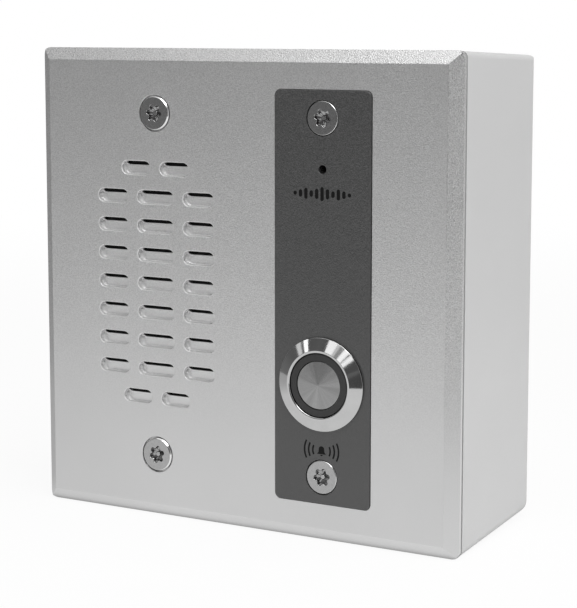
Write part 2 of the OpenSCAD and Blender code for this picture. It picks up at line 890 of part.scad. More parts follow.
// Return spring between plunger and contact block
module button_spring() {
  wire_r = spring_wire / 2;
  rings = spring_turns * 12;
  h0 = spring_front + wire_r + fit_gap;
  h1 = spring_back - wire_r - fit_gap;
  color([0.6, 0.6, 0.62])
    translate([strip_x, strip_front, button_z])
      rotate([-90, 0, 0])
        polyhedron(coil_points(spring_d / 2, wire_r, h0, h1, spring_turns, rings), coil_faces(rings));
}

// Ring contact under the plunger that bridges the fixed contacts
module contact_bridge() {
  color([0.72, 0.45, 0.2])
    turned(strip_x, button_z, strip_front)
      translate([opening_r - bridge_inset - bridge_w, flange_back])
        square([bridge_w, bridge_t]);
}

// Places of the solder terminals, seen along the button axis, the first at the top
module at_terminals() {
  tag_count = 5;
  for (i = [0 : tag_count - 1])
    rotate(90 + 360 / tag_count * i)
      translate([tag_radius, 0])
        children();
}

// Plastic contact block pressed into the back of the barrel, with the spring well
module button_contact_block() {
  color([0.15, 0.15, 0.15])
    difference() {
      turned(strip_x, button_z, strip_front)
        polygon([
          [0, spring_back],
          [spring_room_r, spring_back],
          [spring_room_r, block_front],
          [bore_r - fit_gap, block_front],
          [bore_r - fit_gap, barrel_len],
          [barrel_d / 2 - block_flange_inset, barrel_len],
          [barrel_d / 2 - block_flange_inset, block_back],
          [0, block_back],
        ]);
      plate(strip_front + block_front - cut, block_back - block_front + 2 * cut)
        translate([strip_x, button_z])
          at_terminals()
            square([tag_t + 2 * fit_gap, tag_w + 2 * fit_gap], center = true);
    }
}

// Flat solder terminals through the contact block
module button_terminals() {
  color([0.8, 0.68, 0.35])
    plate(strip_front + block_front, block_back + tag_len - block_front)
      translate([strip_x, button_z])
        at_terminals()
          square([tag_t, tag_w], center = true);
}

// Flat seal in the groove under the bezel
module button_seal() {
  color([0.1, 0.1, 0.1])
    turned(strip_x, button_z, strip_front)
      translate([barrel_d / 2 + 2 * fit_gap, -seal_t])
        square([seal_w - fit_gap, seal_t]);
}

// Internal-tooth lock washer between panel and nut
module button_lock_washer() {
  tooth_depth = 1.2;
  tooth_count = 10;
  color([0.75, 0.75, 0.75])
    plate(panel_back, washer_t)
      translate([strip_x, button_z])
        difference() {
          circle(d = barrel_d + 2 * washer_w);
          circle(d = barrel_d + 2 * fit_gap);
          for (i = [0 : tooth_count - 1])
            rotate(360 / tooth_count * i)
              translate([barrel_d / 2, 0])
                square([tooth_depth, tooth_depth], center = true);
        }
}

// Hex nut that clamps the button to the panel
module button_nut() {
  color([0.7, 0.7, 0.7])
    plate(panel_back + washer_t, nut_t)
      translate([strip_x, button_z])
        difference() {
          circle(d = nut_corners, $fn = 6);
          circle(d = barrel_d + 2 * fit_gap);
        }
}

// Rubber boot that seals the microphone against the panel
module microphone_boot() {
  capsule_r = capsule_d / 2;
  color([0.12, 0.12, 0.12])
    turned(strip_x, mic_z, panel_back)
      polygon([
        [mic_d / 2, 0],
        [capsule_r + boot_wall, 0],
        [capsule_r + boot_wall, boot_front + capsule_len],
        [capsule_r + fit_gap, boot_front + capsule_len],
        [capsule_r + fit_gap, boot_front],
        [mic_d / 2, boot_front],
      ]);
}

// Microphone capsule with its two pins
module microphone_capsule() {
  pin_d = 0.7;
  pin_len = 2;
  pin_x = 1.27;
  color([0.75, 0.75, 0.72]) {
    bar(strip_x, mic_z, panel_back + boot_front, capsule_len, capsule_d);
    for (s = [-1, 1])
      bar(strip_x + s * pin_x, mic_z, panel_back + boot_front + capsule_len - cut, pin_len + cut, pin_d);
  }
}

// Foam sheet that seals the speaker to the panel and closes the rear pocket
module speaker_foam() {
  color([0.14, 0.14, 0.15])
    plate(panel_back, foam_t)
      difference() {
        union() {
          translate([speaker_x, pocket_z])
            rounded_rect(pocket_w + 2 * foam_border, pocket_h + 2 * foam_border, pocket_r);
          translate([speaker_x, grille_z])
            circle(speaker_r);
        }
        translate([speaker_x, grille_z])
          circle(flange_in_r + foam_ease);
        for (a = clamp_angles)
          translate([speaker_x + clamp_radius * cos(a), grille_z + clamp_radius * sin(a)])
            circle(d = clamp_boss_d + 2 * pocket_gap);
        for (sz = [-1, 1])
          translate([speaker_x, sz * screw_dz / 2])
            circle(d = boss_d + 2 * pocket_gap);
      }
}

// Pressed steel basket with windows, a ledge for the surround and a ledge for the spider
module speaker_basket() {
  window_count = 6;
  window_w = 8;
  window_margin_front = 1.8;
  window_margin_back = 0.6;
  window_front = flange_back_h + window_margin_front;
  window_back = spider_ledge - window_margin_back;
  neck_r = spider_ledge_in_r + basket_wall;
  shoulder_r = spider_ledge_out_r + basket_wall;
  color([0.3, 0.3, 0.32])
    difference() {
      turned(speaker_x, grille_z, panel_back)
        polygon([
          [flange_in_r, basket_front],
          [speaker_r, basket_front],
          [speaker_r, flange_back_h],
          [flange_in_r + flange_fold_w, flange_back_h],
          [shoulder_r, spider_ledge + basket_wall],
          [neck_r, spider_ledge + basket_wall],
          [neck_r, motor_front],
          [gap_r + basket_wall / 2, motor_front],
          [gap_r + basket_wall / 2, basket_floor_h],
          [spider_ledge_in_r, basket_floor_h],
          [spider_ledge_in_r, spider_ledge],
          [spider_ledge_out_r, spider_ledge],
          [ledge_r, roll_h + ledge_t],
          [ledge_r, roll_h],
          [flange_in_r, roll_h],
        ]);
      for (i = [0 : window_count - 1])
        translate([speaker_x, panel_back, grille_z])
          rotate([0, 360 / window_count * i, 0])
            translate([spider_ledge_out_r, window_front, -window_w / 2])
              cube([speaker_r, window_back - window_front, window_w]);
    }
}

// Rubber half-roll between the cone and the basket
module speaker_surround() {
  in_r = roll_half - roll_t;
  color([0.1, 0.1, 0.1])
    turned(speaker_x, grille_z, panel_back) {
      difference() {
        translate([roll_mid, roll_h])
          circle(roll_half);
        translate([roll_mid, roll_h])
          circle(in_r);
        translate([roll_mid - 2 * roll_half, roll_h])
          square([4 * roll_half, 2 * roll_half]);
      }
      translate([roll_mid + in_r, roll_h - roll_t])
        square([flange_in_r - fit_gap - roll_mid - in_r, roll_t]);
    }
}

// Paper cone
module speaker_cone() {
  color([0.16, 0.16, 0.16])
    turned(speaker_x, grille_z, panel_back)
      polygon([
        [cone_r, cone_front],
        [cone_r, cone_front + cone_t],
        [cone_neck_r, cone_neck + cone_t],
        [cone_neck_r, cone_neck],
      ]);
}

// Domed dust cap that closes the neck of the cone
module speaker_dust_cap() {
  dust_r = former_r + dust_border;
  ball_r = (dust_r * dust_r + dust_h * dust_h) / (2 * dust_h);
  cone_slope = cone_depth / (cone_r - cone_neck_r);
  base = cone_neck - (dust_r - cone_neck_r) * cone_slope - fit_gap;
  color([0.12, 0.12, 0.12])
    turned(speaker_x, grille_z, panel_back)
      intersection() {
        difference() {
          translate([0, base - dust_h + ball_r])
            circle(ball_r);
          translate([0, base - dust_h + ball_r])
            circle(ball_r - cone_t);
        }
        translate([0, base - dust_h - cut])
          square([dust_r, dust_h + cut]);
      }
}

// Voice coil: former with its winding in the magnet gap
module speaker_voice_coil() {
  front = cone_neck;
  winding_front = motor_front - (winding_len - plate_t) / 2;
  back = winding_front + winding_len + former_t;
  color([0.72, 0.42, 0.2])
    turned(speaker_x, grille_z, panel_back)
      polygon([
        [coil_d / 2, front],
        [former_r, front],
        [former_r, winding_front],
        [former_r + winding_t, winding_front],
        [former_r + winding_t, winding_front + winding_len],
        [former_r, winding_front + winding_len],
        [former_r, back],
        [coil_d / 2, back],
      ]);
}

// Waved cloth spider that centres the voice coil
module speaker_spider() {
  in_r = cone_neck_r;
  out_r = spider_ledge_out_r - fit_gap;
  free_r = spider_ledge_in_r;
  steps = 24;
  waves = 3;
  base = spider_ledge - spider_t;
  function phase(r) = 360 * waves * (free_r - r) / (free_r - in_r);
  function wave(r) = r > free_r ? 0 : -spider_wave * (1 - cos(phase(r))) / 2;
  radii = concat([for (i = [0 : steps]) in_r + (free_r - in_r) * i / steps], [out_r]);
  last = len(radii) - 1;
  color([0.7, 0.5, 0.28])
    turned(speaker_x, grille_z, panel_back)
      polygon(concat(
        [for (r = radii) [r, base + wave(r)]],
        [for (i = [last : -1 : 0]) [radii[i], base + spider_t + wave(radii[i])]]
      ));
}

module ring_plate(front, t, out_r, in_r) {
  turned(speaker_x, grille_z, panel_back)
    translate([in_r, front])
      square([out_r - in_r, t]);
}

// Soft iron top plate round the magnet gap
module speaker_top_plate() {
  color([0.55, 0.55, 0.56])
    ring_plate(motor_front, plate_t, plate_d / 2, gap_r);
}

// Ferrite ring magnet
module speaker_magnet() {
  color([0.2, 0.2, 0.21])
    ring_plate(magnet_front, magnet_t, magnet_d / 2, gap_r + magnet_recess);
}

// Soft iron yoke: rear disc with the pole in one piece
module speaker_yoke() {
  pole_r = coil_d / 2 - pole_gap;
  color([0.55, 0.55, 0.56])
    turned(speaker_x, grille_z, panel_back)
      polygon([
        [0, motor_front],
        [pole_r, motor_front],
        [pole_r, yoke_front],
        [plate_d / 2, yoke_front],
        [plate_d / 2, yoke_back],
        [0, yoke_back],
      ]);
}

// Solder tag strip on the back of the basket
module speaker_tag_strip() {
  strip_len = 12;
  strip_reach = 6;
  strip_thick = 1;
  tag_hole_d = 1.5;
  tag_hole_x = 3.5;
  seat = panel_back + spider_ledge + basket_wall;
  inner = spider_ledge_in_r + basket_wall + pocket_gap;
  color([0.5, 0.3, 0.15])
    difference() {
      plate(seat, strip_thick)
        translate([speaker_x, grille_z + inner + strip_reach / 2])
          square([strip_len, strip_reach], center = true);
      for (s = [-1, 1])
        bar(speaker_x + s * tag_hole_x, grille_z + inner + strip_reach - tag_hole_d, seat - cut,
          strip_thick + 2 * cut, tag_hole_d);
    }
}

// Four flat clamps that hold the basket flange to the panel bosses
module speaker_clamps() {
  grip = 1.4;
  reach = clamp_radius - speaker_r + grip;
  tail = clamp_w / 2;
  color([0.75, 0.75, 0.75])
    at_clamps()
      plate(panel_back + flange_back_h, clamp_t)
        difference() {
          union() {
            translate([-reach, -clamp_w / 2])
              square([reach, clamp_w]);
            circle(tail);
          }
          circle(d = clamp_screw_d + 2 * thread_gap);
        }
}

// Pan head screws through the clamps
module speaker_clamp_screws() {
  seat = flange_back_h + clamp_t;
  head_r = clamp_screw_head_d / 2;
  shank_r = clamp_screw_d / 2;
  slot_w = 0.7;
  slot_depth = 0.8;
  color([0.7, 0.7, 0.7])
    at_clamps()
      difference() {
        turned(0, 0, panel_back)
          polygon([
            [0, -clamp_screw_grip],
            [shank_r, -clamp_screw_grip],
            [shank_r, seat],
            [head_r, seat],
            [head_r, seat + clamp_screw_head_t],
            [0, seat + clamp_screw_head_t],
          ]);
        translate([-head_r - cut, panel_back + seat + clamp_screw_head_t - slot_depth, -slot_w / 2])
          cube([2 * head_r + 2 * cut, slot_depth + cut, slot_w]);
      }
}

// Circuit board on the four posts
module main_board() {
  corner_r = 2;
  color([0.1, 0.35, 0.18])
    difference() {
      plate(board_front, board_t)
        translate([0, board_z])
          rounded_rect(board_w, board_h, corner_r);
      at_panel_screws()
        bar(0, 0, board_front - cut, board_t + 2 * cut, boss_d + 2 * rim_gap);
      at_board_screws()
        bar(0, 0, board_front - cut, board_t + 2 * cut, board_screw_d + 2 * thread_gap);
    }
}

// Main processor with its pin-one mark
module processor_chip() {
  size = 14;
  thick = 1.4;
  mark_d = 1.4;
  mark_depth = 0.2;
  x = -board_w / 4;
  z = board_h / 8;
  mark_x = x - size / 2 + mark_d;
  mark_z = board_z + z + size / 2 - mark_d;
  color([0.12, 0.12, 0.12])
    difference() {
      board_block(x, z, size, thick, size);
      bar(mark_x, mark_z, board_front - thick - cut, cut + mark_depth, mark_d);
    }
}

// Amplifier, codec and memory chips
module audio_chips() {
  amplifier_w = 7;
  amplifier_t = 1;
  codec_w = 5;
  codec_h = 4;
  codec_t = 1.5;
  memory_w = 10;
  memory_h = 6;
  memory_t = 1.2;
  amplifier_x = board_w * 0.3;
  amplifier_z = board_h * 0.05;
  codec_x = board_w * 0.14;
  codec_z = board_h * 0.17;
  memory_x = -board_w * 0.025;
  memory_z = board_h * 0.34;
  color([0.13, 0.13, 0.14]) {
    board_block(amplifier_x, amplifier_z, amplifier_w, amplifier_t, amplifier_w);
    board_block(codec_x, codec_z, codec_w, codec_t, codec_h);
    board_block(memory_x, memory_z, memory_w, memory_t, memory_h);
  }
}

// Network jack, open downwards
module network_jack() {
  port_w = 11.8;
  port_h = 7.6;
  port_depth = 14;
  port_rise = 3;
  overhang = 1;
  low = -board_h / 2 - overhang;
  color([0.72, 0.72, 0.72])
    difference() {
      board_block(jack_x, low + jack_len / 2, jack_w, jack_h, jack_len);
      translate([jack_x - port_w / 2, board_front - port_rise - port_h, board_z + low - cut])
        cube([port_w, port_h, port_depth + cut]);
    }
}

// Screw terminal block for power and door release wires
module terminal_block() {
  wire_hole_d = 3;
  wire_hole_depth = 5;
  wire_hole_rise = 3.5;
  screw_hole_d = 3.4;
  screw_hole_depth = 3;
  overhang = 0.5;
  ways_x = speaker_x;
  low = -board_h / 2 - overhang;
  color([0.15, 0.4, 0.2])
    difference() {
      board_block(ways_x, low + ways_depth / 2, block_ways * way_pitch, ways_h, ways_depth);
      for (i = [0 : block_ways - 1])
        translate([ways_x + (i - (block_ways - 1) / 2) * way_pitch, 0, board_z + low]) {
          translate([0, board_front - wire_hole_rise, -cut])
            cylinder(h = wire_hole_depth + cut, d = wire_hole_d);
          bar(0, ways_depth / 2, board_front - ways_h - cut, screw_hole_depth + cut, screw_hole_d);
        }
    }
}

// Two electrolytic capacitors with their crimp groove
module filter_capacitors() {
  can_r = can_d / 2;
  groove = 0.4;
  groove_h = 2;
  can_gap = 2;
  spacing = can_d + can_gap;
  edge_gap = 2;
  x = board_w / 2 - can_r - edge_gap;
  z = board_z + board_h / 10;
  color([0.2, 0.22, 0.3])
    for (i = [0, 1])
      turned(x, z + i * spacing, board_front - can_h)
        polygon([
          [0, 0],
          [can_r, 0],
          [can_r, can_h - groove_h - groove],
          [can_r - groove, can_h - groove_h],
          [can_r, can_h - groove_h + groove],
          [can_r, can_h],
          [0, can_h],
        ]);
}

// Shielded power inductor
module power_inductor() {
  size = 10;
  thick = 4.5;
  core_d = 7;
  core_depth = 0.6;
  edge_gap = 2;
  x = board_w * 0.14;
  z = board_h / 2 - size / 2 - edge_gap;
  color([0.25, 0.25, 0.26])
    difference() {
      board_block(x, z, size, thick, size);
      difference() {
        bar(x, board_z + z, board_front - thick - cut, cut + core_depth, core_d);
        bar(x, board_z + z, board_front - thick - 2 * cut, 3 * cut, core_d / 2);
      }
    }
}

// Plug header, hollow for its plug
module board_header(x, z) {
  w = 7.5;
  h = 4.9;
  t = 6;
  wall = 0.8;
  hollow = 4.5;
  difference() {
    board_block(x, z, w, t, h);
    translate([0, hollow - t, 0])
      board_block(x, z, w - 2 * wall, hollow + cut, h - 2 * wall);
  }
}

// Plug headers for speaker, microphone and button leads
module board_headers() {
  edge_gap = 5;
  top_z = board_h / 2 - edge_gap;
  speaker_header_x = -board_w * 0.32;
  microphone_header_x = board_w * 0.3;
  button_header_x = board_w / 2 - edge_gap;
  button_header_z = -board_h * 0.16;
  color([0.88, 0.86, 0.8]) {
    board_header(speaker_header_x, top_z);
    board_header(microphone_header_x, top_z);
    board_header(button_header_x, button_header_z);
  }
}

// Pan head screws that hold the board to its posts
module board_screws() {
  head_r = board_screw_head_d / 2;
  shank_r = board_screw_d / 2;
  tip_room = 1;
  tip = board_t + post_h - tip_room;
  slot_w = 0.8;
  slot_depth = 1;
  color([0.7, 0.7, 0.7])
    at_board_screws()
      difference() {
        turned(0, 0, board_front)
          polygon([
            [0, -board_screw_head_t],
            [head_r, -board_screw_head_t],
            [head_r, 0],
            [shank_r, 0],
            [shank_r, tip],
            [0, tip],
          ]);
        translate([-head_r - cut, board_front - board_screw_head_t - cut, -slot_w / 2])
          cube([2 * head_r + 2 * cut, slot_depth + cut, slot_w]);
      }
}

front_panel();
label_strip();
grille_baffle();
grille_mesh();
panel_gasket();
back_box();
panel_screws();
cable_grommet();
button_bezel();
button_cap();
button_light_ring();
button_plunger();
button_spring();
contact_bridge();
button_contact_block();
button_terminals();
button_seal();
button_lock_washer();
button_nut();
microphone_boot();
microphone_capsule();
speaker_foam();
speaker_basket();
speaker_surround();
speaker_cone();
speaker_dust_cap();
speaker_voice_coil();
speaker_spider();
speaker_top_plate();
speaker_magnet();
speaker_yoke();
speaker_tag_strip();
speaker_clamps();
speaker_clamp_screws();
main_board();
processor_chip();
audio_chips();
network_jack();
terminal_block();
filter_capacitors();
power_inductor();
board_headers();
board_screws();
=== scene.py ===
import math

import bmesh
import bpy
from mathutils import Matrix, Vector
from mathutils.geometry import delaunay_2d_cdt


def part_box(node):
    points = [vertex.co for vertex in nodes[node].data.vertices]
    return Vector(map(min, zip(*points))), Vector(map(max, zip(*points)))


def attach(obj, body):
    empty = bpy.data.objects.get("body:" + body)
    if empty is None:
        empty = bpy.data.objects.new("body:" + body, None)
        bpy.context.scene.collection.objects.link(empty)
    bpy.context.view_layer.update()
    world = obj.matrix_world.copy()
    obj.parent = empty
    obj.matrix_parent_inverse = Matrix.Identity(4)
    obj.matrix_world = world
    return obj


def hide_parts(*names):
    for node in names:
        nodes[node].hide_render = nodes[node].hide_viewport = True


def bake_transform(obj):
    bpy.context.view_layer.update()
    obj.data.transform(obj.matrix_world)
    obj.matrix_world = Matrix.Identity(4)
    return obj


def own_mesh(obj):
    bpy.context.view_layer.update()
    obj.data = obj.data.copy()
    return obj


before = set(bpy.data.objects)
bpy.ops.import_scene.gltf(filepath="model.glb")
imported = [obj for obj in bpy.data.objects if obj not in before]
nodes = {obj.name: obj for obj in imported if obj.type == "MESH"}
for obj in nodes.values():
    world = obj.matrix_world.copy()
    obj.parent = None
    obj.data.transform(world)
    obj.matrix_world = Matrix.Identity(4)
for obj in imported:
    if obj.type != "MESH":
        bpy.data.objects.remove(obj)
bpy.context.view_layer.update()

# Camera
# It stands to the right of the panel and a little above its middle, with a long lens, and looks slightly
# down. Its place was solved from the panel's corners, screws and button. Sizes in this file are in
# millimetres.
mm = 0.001
camera_place = Vector((225.23, -412.34, 63.08))
camera_turn = 29.965
camera_dip = 7.265
camera_shift = -0.076
focal_px = 1842.1
picture_px = (577, 608)
sensor_w, near_clip = 36, 10

camera_data = bpy.data.cameras.new("photo_camera")
camera_data.sensor_width = sensor_w
camera_data.lens = focal_px * sensor_w / max(picture_px)
camera_data.shift_y = camera_shift
camera_data.clip_start = near_clip * mm
camera = bpy.data.objects.new("photo_camera", camera_data)
camera.location = camera_place * mm
camera.rotation_euler = (math.radians(90 - camera_dip), 0, math.radians(camera_turn))
scene = bpy.context.scene
scene.collection.objects.link(camera)
scene.camera = camera
scene.view_settings.view_transform = "Standard"


# Floor and room
# A white table in a white studio. A dim wall, seen only in reflections, goes all round, near at the left,
# dark at the front and pale at the right and behind: it makes the blasted metal fall from light at its foot
# to grey at its head. Two low cards at the front right show in the polished bezel.
class Wire:
    """A socket in a node tree; sums and products of wires add Math nodes."""

    def __init__(self, tree, socket=None):
        self.tree = tree
        self.socket = socket

    def plug(self, target, value):
        """Links a wire to a socket, or sets the socket to a plain value."""
        if isinstance(value, Wire):
            self.tree.links.new(value.socket, target)
        else:
            target.default_value = value

    def node(self, kind, settings=None, sockets=None, out=0):
        """Adds a node and gives a wire on one of its outputs; stops are the places and tones of a ramp."""
        made = self.tree.nodes.new(kind)
        for key, value in (settings or {}).items():
            if key == "stops":
                stops = made.color_ramp.elements
                stops.remove(stops[1])
                stops[0].position = value[0][0]
                stops[0].color = grey(value[0][1])
                for place, tone in value[1:]:
                    stops.new(place).color = grey(tone)
            else:
                setattr(made, key, value)
        for key, value in (sockets or {}).items():
            self.plug(made.inputs[key], value)
        return Wire(self.tree, made.outputs[out] if made.outputs else None)

    def maths(self, operation, *values):
        return self.node("ShaderNodeMath", {"operation": operation}, dict(enumerate(values)))

    def __add__(self, other):
        return self.maths("ADD", self, other)

    def __sub__(self, other):
        return self.maths("SUBTRACT", self, other)

    def __mul__(self, other):
        return self.maths("MULTIPLY", self, other)

    def __rsub__(self, other):
        return self.maths("SUBTRACT", other, self)

    __radd__ = __add__
    __rmul__ = __mul__


def grey(tone):
    return (tone, tone, tone, 1)


def rays(wire, *kinds):
    """1 for rays of the kinds named, else 0."""
    found = [wire.node("ShaderNodeLightPath", out=f"Is {kind} Ray") for kind in kinds]
    return found[0] if len(found) == 1 else wire.maths("MAXIMUM", *found)


def new_object(name, data):
    made = bpy.data.objects.new(name, data)
    scene.collection.objects.link(made)
    return made


def emitting(name):
    material = bpy.data.materials.new(name)
    material.use_nodes = True
    material.node_tree.nodes.clear()
    return material, Wire(material.node_tree)


def heading_of(wire, place):
    """Direction of a place seen from above, 0.5 straight in front of the panel and more to the right."""
    across, along = (wire.node("ShaderNodeSeparateXYZ", None, {0: place}, axis) for axis in (0, 1))
    return wire.maths("ARCTAN2", across, 0 - along) * (0.5 / math.pi) + 0.5


room_light = 0.38
world = bpy.data.worlds.new("studio")
world.use_nodes = True
world.node_tree.nodes.clear()
air = Wire(world.node_tree)
lit = air.node("ShaderNodeBackground", None, {"Color": grey(1), "Strength": room_light})
white = air.node("ShaderNodeBackground", None, {"Color": grey(1), "Strength": 1})
seen = air.maths("MAXIMUM", rays(air, "Camera", "Glossy"), rays(air, "Transmission"))
sky = air.node("ShaderNodeMixShader", None, {0: seen, 1: lit, 2: white})
air.node("ShaderNodeOutputWorld", None, {"Surface": sky})
scene.world = world

floor_reach, floor_cells = 6000, 4
floor_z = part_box("front_panel")[0].z / mm
floor_glow, mirror_glow = 0.92, 0.795
glow_from, glow_full = 150, 700
mirror_from, mirror_full = 60, 140
table_tone = 0.9
floor_tones = (  # heading and tone in reflections
    (-180, 0.54), (-65, 0.56), (-56, 0.76), (-50, 0.9), (-38, 0.92), (-26, 0.97), (120, 1), (180, 0.8))
# In reflections the table is painted darker in a strip under the panel's foot: painted shadow.
foot_half_w, foot_from, foot_full, foot_shade = 58, -45, -43.3, 0.65
floor_mesh = bmesh.new()
bmesh.ops.create_grid(floor_mesh, x_segments=floor_cells, y_segments=floor_cells, size=floor_reach * mm)
bmesh.ops.translate(floor_mesh, verts=floor_mesh.verts, vec=(0, 0, floor_z * mm))
floor_data = bpy.data.meshes.new("floor")
floor_mesh.to_mesh(floor_data)
floor_mesh.free()
floor = new_object("floor", floor_data)
floor_paint, wire = emitting("white_table")
table_top = wire.node("ShaderNodeBsdfDiffuse", None, {"Color": grey(table_tone)})
place = wire.node("ShaderNodeTexCoord", out="Object")
dimmed = wire.node(
    "ShaderNodeValToRGB", {"stops": [(heading / 360 + 0.5, tone) for heading, tone in floor_tones]},
    {0: heading_of(wire, place)})
across, along = (wire.node("ShaderNodeSeparateXYZ", None, {0: place}, axis) for axis in (0, 1))
# Painted shadow under the foot, seen only in reflections.
painted_foot_shadow = wire.maths("LESS_THAN", wire.maths("ABSOLUTE", across), foot_half_w * mm) * wire.node(
    "ShaderNodeMapRange", {"interpolation_type": "SMOOTHSTEP"}, {
        "Value": along, "From Min": foot_from * mm, "From Max": foot_full * mm,
        "To Min": 0, "To Max": foot_shade})
dimmed = dimmed * (1 - painted_foot_shadow)
glossy = rays(wire, "Glossy")
glow = wire.node("ShaderNodeEmission", None, {"Color": 1 - glossy * (1 - dimmed), "Strength": 1})
away = wire.node("ShaderNodeVectorMath", {"operation": "LENGTH"}, {0: place}, 1)
seen_share, mirror_share = (
    wire.node("ShaderNodeMapRange", {"interpolation_type": "SMOOTHSTEP"}, {
        "Value": away, "From Min": near * mm, "From Max": far * mm, "To Min": low, "To Max": 1})
    for near, far, low in ((glow_from, glow_full, floor_glow), (mirror_from, mirror_full, mirror_glow)))
share = rays(wire, "Camera", "Transmission") * seen_share + glossy * mirror_share
wire.node("ShaderNodeOutputMaterial", None, {"Surface": wire.node(
    "ShaderNodeMixShader", None, {0: share, 1: table_top, 2: glow})})
floor_data.materials.append(floor_paint)
card_fade_from, card_fade_to, card_top_share = 60, 260, 0.55


def mirror_card(name, marks, steps=8):
    """A curved card round the object, seen only in reflections; marks are heading, reach, top and tone."""
    shell = bmesh.new()
    rows = []
    for here, there in zip(marks, marks[1:]):
        for step in range(steps + (there is marks[-1])):
            heading, reach, top = (a + (b - a) * step / steps for a, b in zip(here[:3], there[:3]))
            turn = math.radians(heading)
            spot = Vector((math.sin(turn), -math.cos(turn), 0)) * reach
            rows.append([shell.verts.new((spot + Vector((0, 0, level))) * mm) for level in (floor_z, top)])
    for here, there in zip(rows, rows[1:]):
        shell.faces.new((here[0], there[0], there[1], here[1]))
    data = bpy.data.meshes.new(name)
    shell.to_mesh(data)
    shell.free()
    paint, wire = emitting(name)
    place = wire.node("ShaderNodeTexCoord", out="Object")
    tone = wire.node("ShaderNodeValToRGB", {"stops": [(mark[0] / 360 + 0.5, mark[3]) for mark in marks]},
                     {0: heading_of(wire, place)})
    height = wire.node("ShaderNodeSeparateXYZ", None, {0: place}, 2)
    fall = wire.node("ShaderNodeMapRange", {"interpolation_type": "SMOOTHSTEP"}, {
        "Value": height, "From Min": card_fade_from * mm, "From Max": card_fade_to * mm,
        "To Min": 1, "To Max": card_top_share})
    wire.node("ShaderNodeOutputMaterial", None, {
        "Surface": wire.node("ShaderNodeEmission", None, {"Color": tone * fall, "Strength": 1})})
    data.materials.append(paint)
    card = new_object(name, data)
    card.visible_camera = False
    card.visible_diffuse = False
    card.visible_shadow = False
    card.visible_transmission = False


mirror_card("dim_wall", (
    (-180, 500, 480, 0.8), (-150, 350, 420, 0.5), (-120, 240, 330, 0.36), (-80, 240, 320, 0.31),
    (-63, 560, 510, 0.16), (-45, 600, 640, 0.25), (-30, 600, 540, 0.28), (0, 600, 480, 0.12),
    (30, 500, 420, 0.12), (46, 300, 240, 0.08), (57, 300, 240, 0.08), (62, 300, 240, 0.6),
    (115, 300, 240, 0.8), (150, 300, 240, 0.36), (180, 500, 480, 0.8)))
mirror_card("dark_flag", ((16, 260, 14, 0.08), (38, 260, 14, 0.12)))
mirror_card("grey_flag", ((20.6, 255, 14, 0.2), (22.3, 255, 14, 0.2)))

# Lamps
# A broad soft box overhead lights the table, one at the right lights the side of the box, and one at the
# front right puts the glints on the edges. Narrow strips in front and at the left make the bezel's streaks.
lamp_aim = Vector((23, -46, -20))
for lamp_name, heading, rise, reach, lamp_w, lamp_h, radiance in (
        ("overhead_box", 75, 72, 560, 420, 420, 2.7),
        ("side_box", 100, 12, 700, 300, 300, 2),
        ("right_box", 43, 50, 1000, 500, 500, 3),
        ("left_strip", -60, 19.4, 540, 42, 132, 0.9),
        ("left_bright_strip", -52.2, 25.3, 540, 40, 132, 2.2),
        ("front_strip", -15.1, 33.2, 540, 102, 94, 1.5),
        ("fading_strip", -6.7, 29.8, 540, 29, 94, 0.85),
        ("faint_strip", -2, 27.8, 540, 47, 94, 0.38),
        ("middle_strip", 4.1, 24.3, 540, 53, 132, 1.65),
        ("right_strip", 10.6, 17.5, 480, 34, 107, 1.6)):
    lamp_data = bpy.data.lights.new(lamp_name, "AREA")
    lamp_data.shape = "RECTANGLE"
    lamp_data.size, lamp_data.size_y = lamp_w * mm, lamp_h * mm
    lamp_data.energy = radiance * math.pi * lamp_data.size * lamp_data.size_y
    turn, tilt = math.radians(heading), math.radians(rise)
    sight = Vector((math.sin(turn) * math.cos(tilt), -math.cos(turn) * math.cos(tilt), math.sin(tilt)))
    lamp = new_object(lamp_name, lamp_data)
    lamp.location = (lamp_aim + sight * reach) * mm
    lamp.rotation_euler = (-sight).to_track_quat("-Z", "Y").to_euler()
    lamp.visible_camera = False


# Front panel
# A plate of aluminium, milled with a bevel on its four edges, bead blasted and clear anodised. It carries the
# louvres, the pocket for the label strip, the screw seats and, behind, a locating rim and the speaker bosses.
def corner_outline(x, z, w, h, r, steps=8):
    """Rounded rectangle about x, z, as a function that also gives it grown all round."""
    def line(grow=0.0):
        points = []
        for quarter, (side_x, side_z) in enumerate(((1, 1), (-1, 1), (-1, -1), (1, -1))):
            for step in range(steps + 1):
                a = math.radians(90 * (quarter + step / steps))
                point = Vector((x + side_x * (w / 2 - r) + (r + grow) * math.cos(a),
                                z + side_z * (h / 2 - r) + (r + grow) * math.sin(a)))
                if not points or (point - points[-1]).length > merge_gap:
                    points.append(point)
        if (points[0] - points[-1]).length < merge_gap:
            points.pop()
        return points
    return line


def round_outline(x, z, r, steps=64):
    """Circle about x, z, as a function that also gives it grown all round."""
    def line(grow=0.0):
        return [Vector((x + (r + grow) * math.cos(2 * math.pi * step / steps),
                        z + (r + grow) * math.sin(2 * math.pi * step / steps))) for step in range(steps)]
    return line


def worn_edge(size, y, side, steps=3):
    """Stations, as growth and depth, of a rounded front edge: side 1 at a hole, -1 at an outside edge."""
    turns = [math.pi / 2 * step / steps for step in range(steps + 1)]
    return [(side * size * (1 - math.sin(a)), y + size * (1 - math.cos(a))) for a in turns]


def stations(outline, places):
    """Rings of an outline at each growth and depth."""
    return [[Vector((p.x, y, p.y)) for p in outline(grow)] for grow, y in places]


def skin(shell, rings, sharp=(), close=False):
    """Faces between rings of points, with the sharp rings kept crisp."""
    rows = [[shell.verts.new(point) for point in ring] for ring in rings]
    count = len(rings[0])
    for upper, lower in zip(rows, rows[1:] + rows[:1] if close else rows[1:]):
        for i in range(count):
            face = shell.faces.new((upper[i - 1], upper[i], lower[i], lower[i - 1]))
            face.smooth = True
    for row in sharp:
        for i in range(count):
            edge = shell.edges.get((rows[row][i - 1], rows[row][i]))
            if edge:
                edge.smooth = False


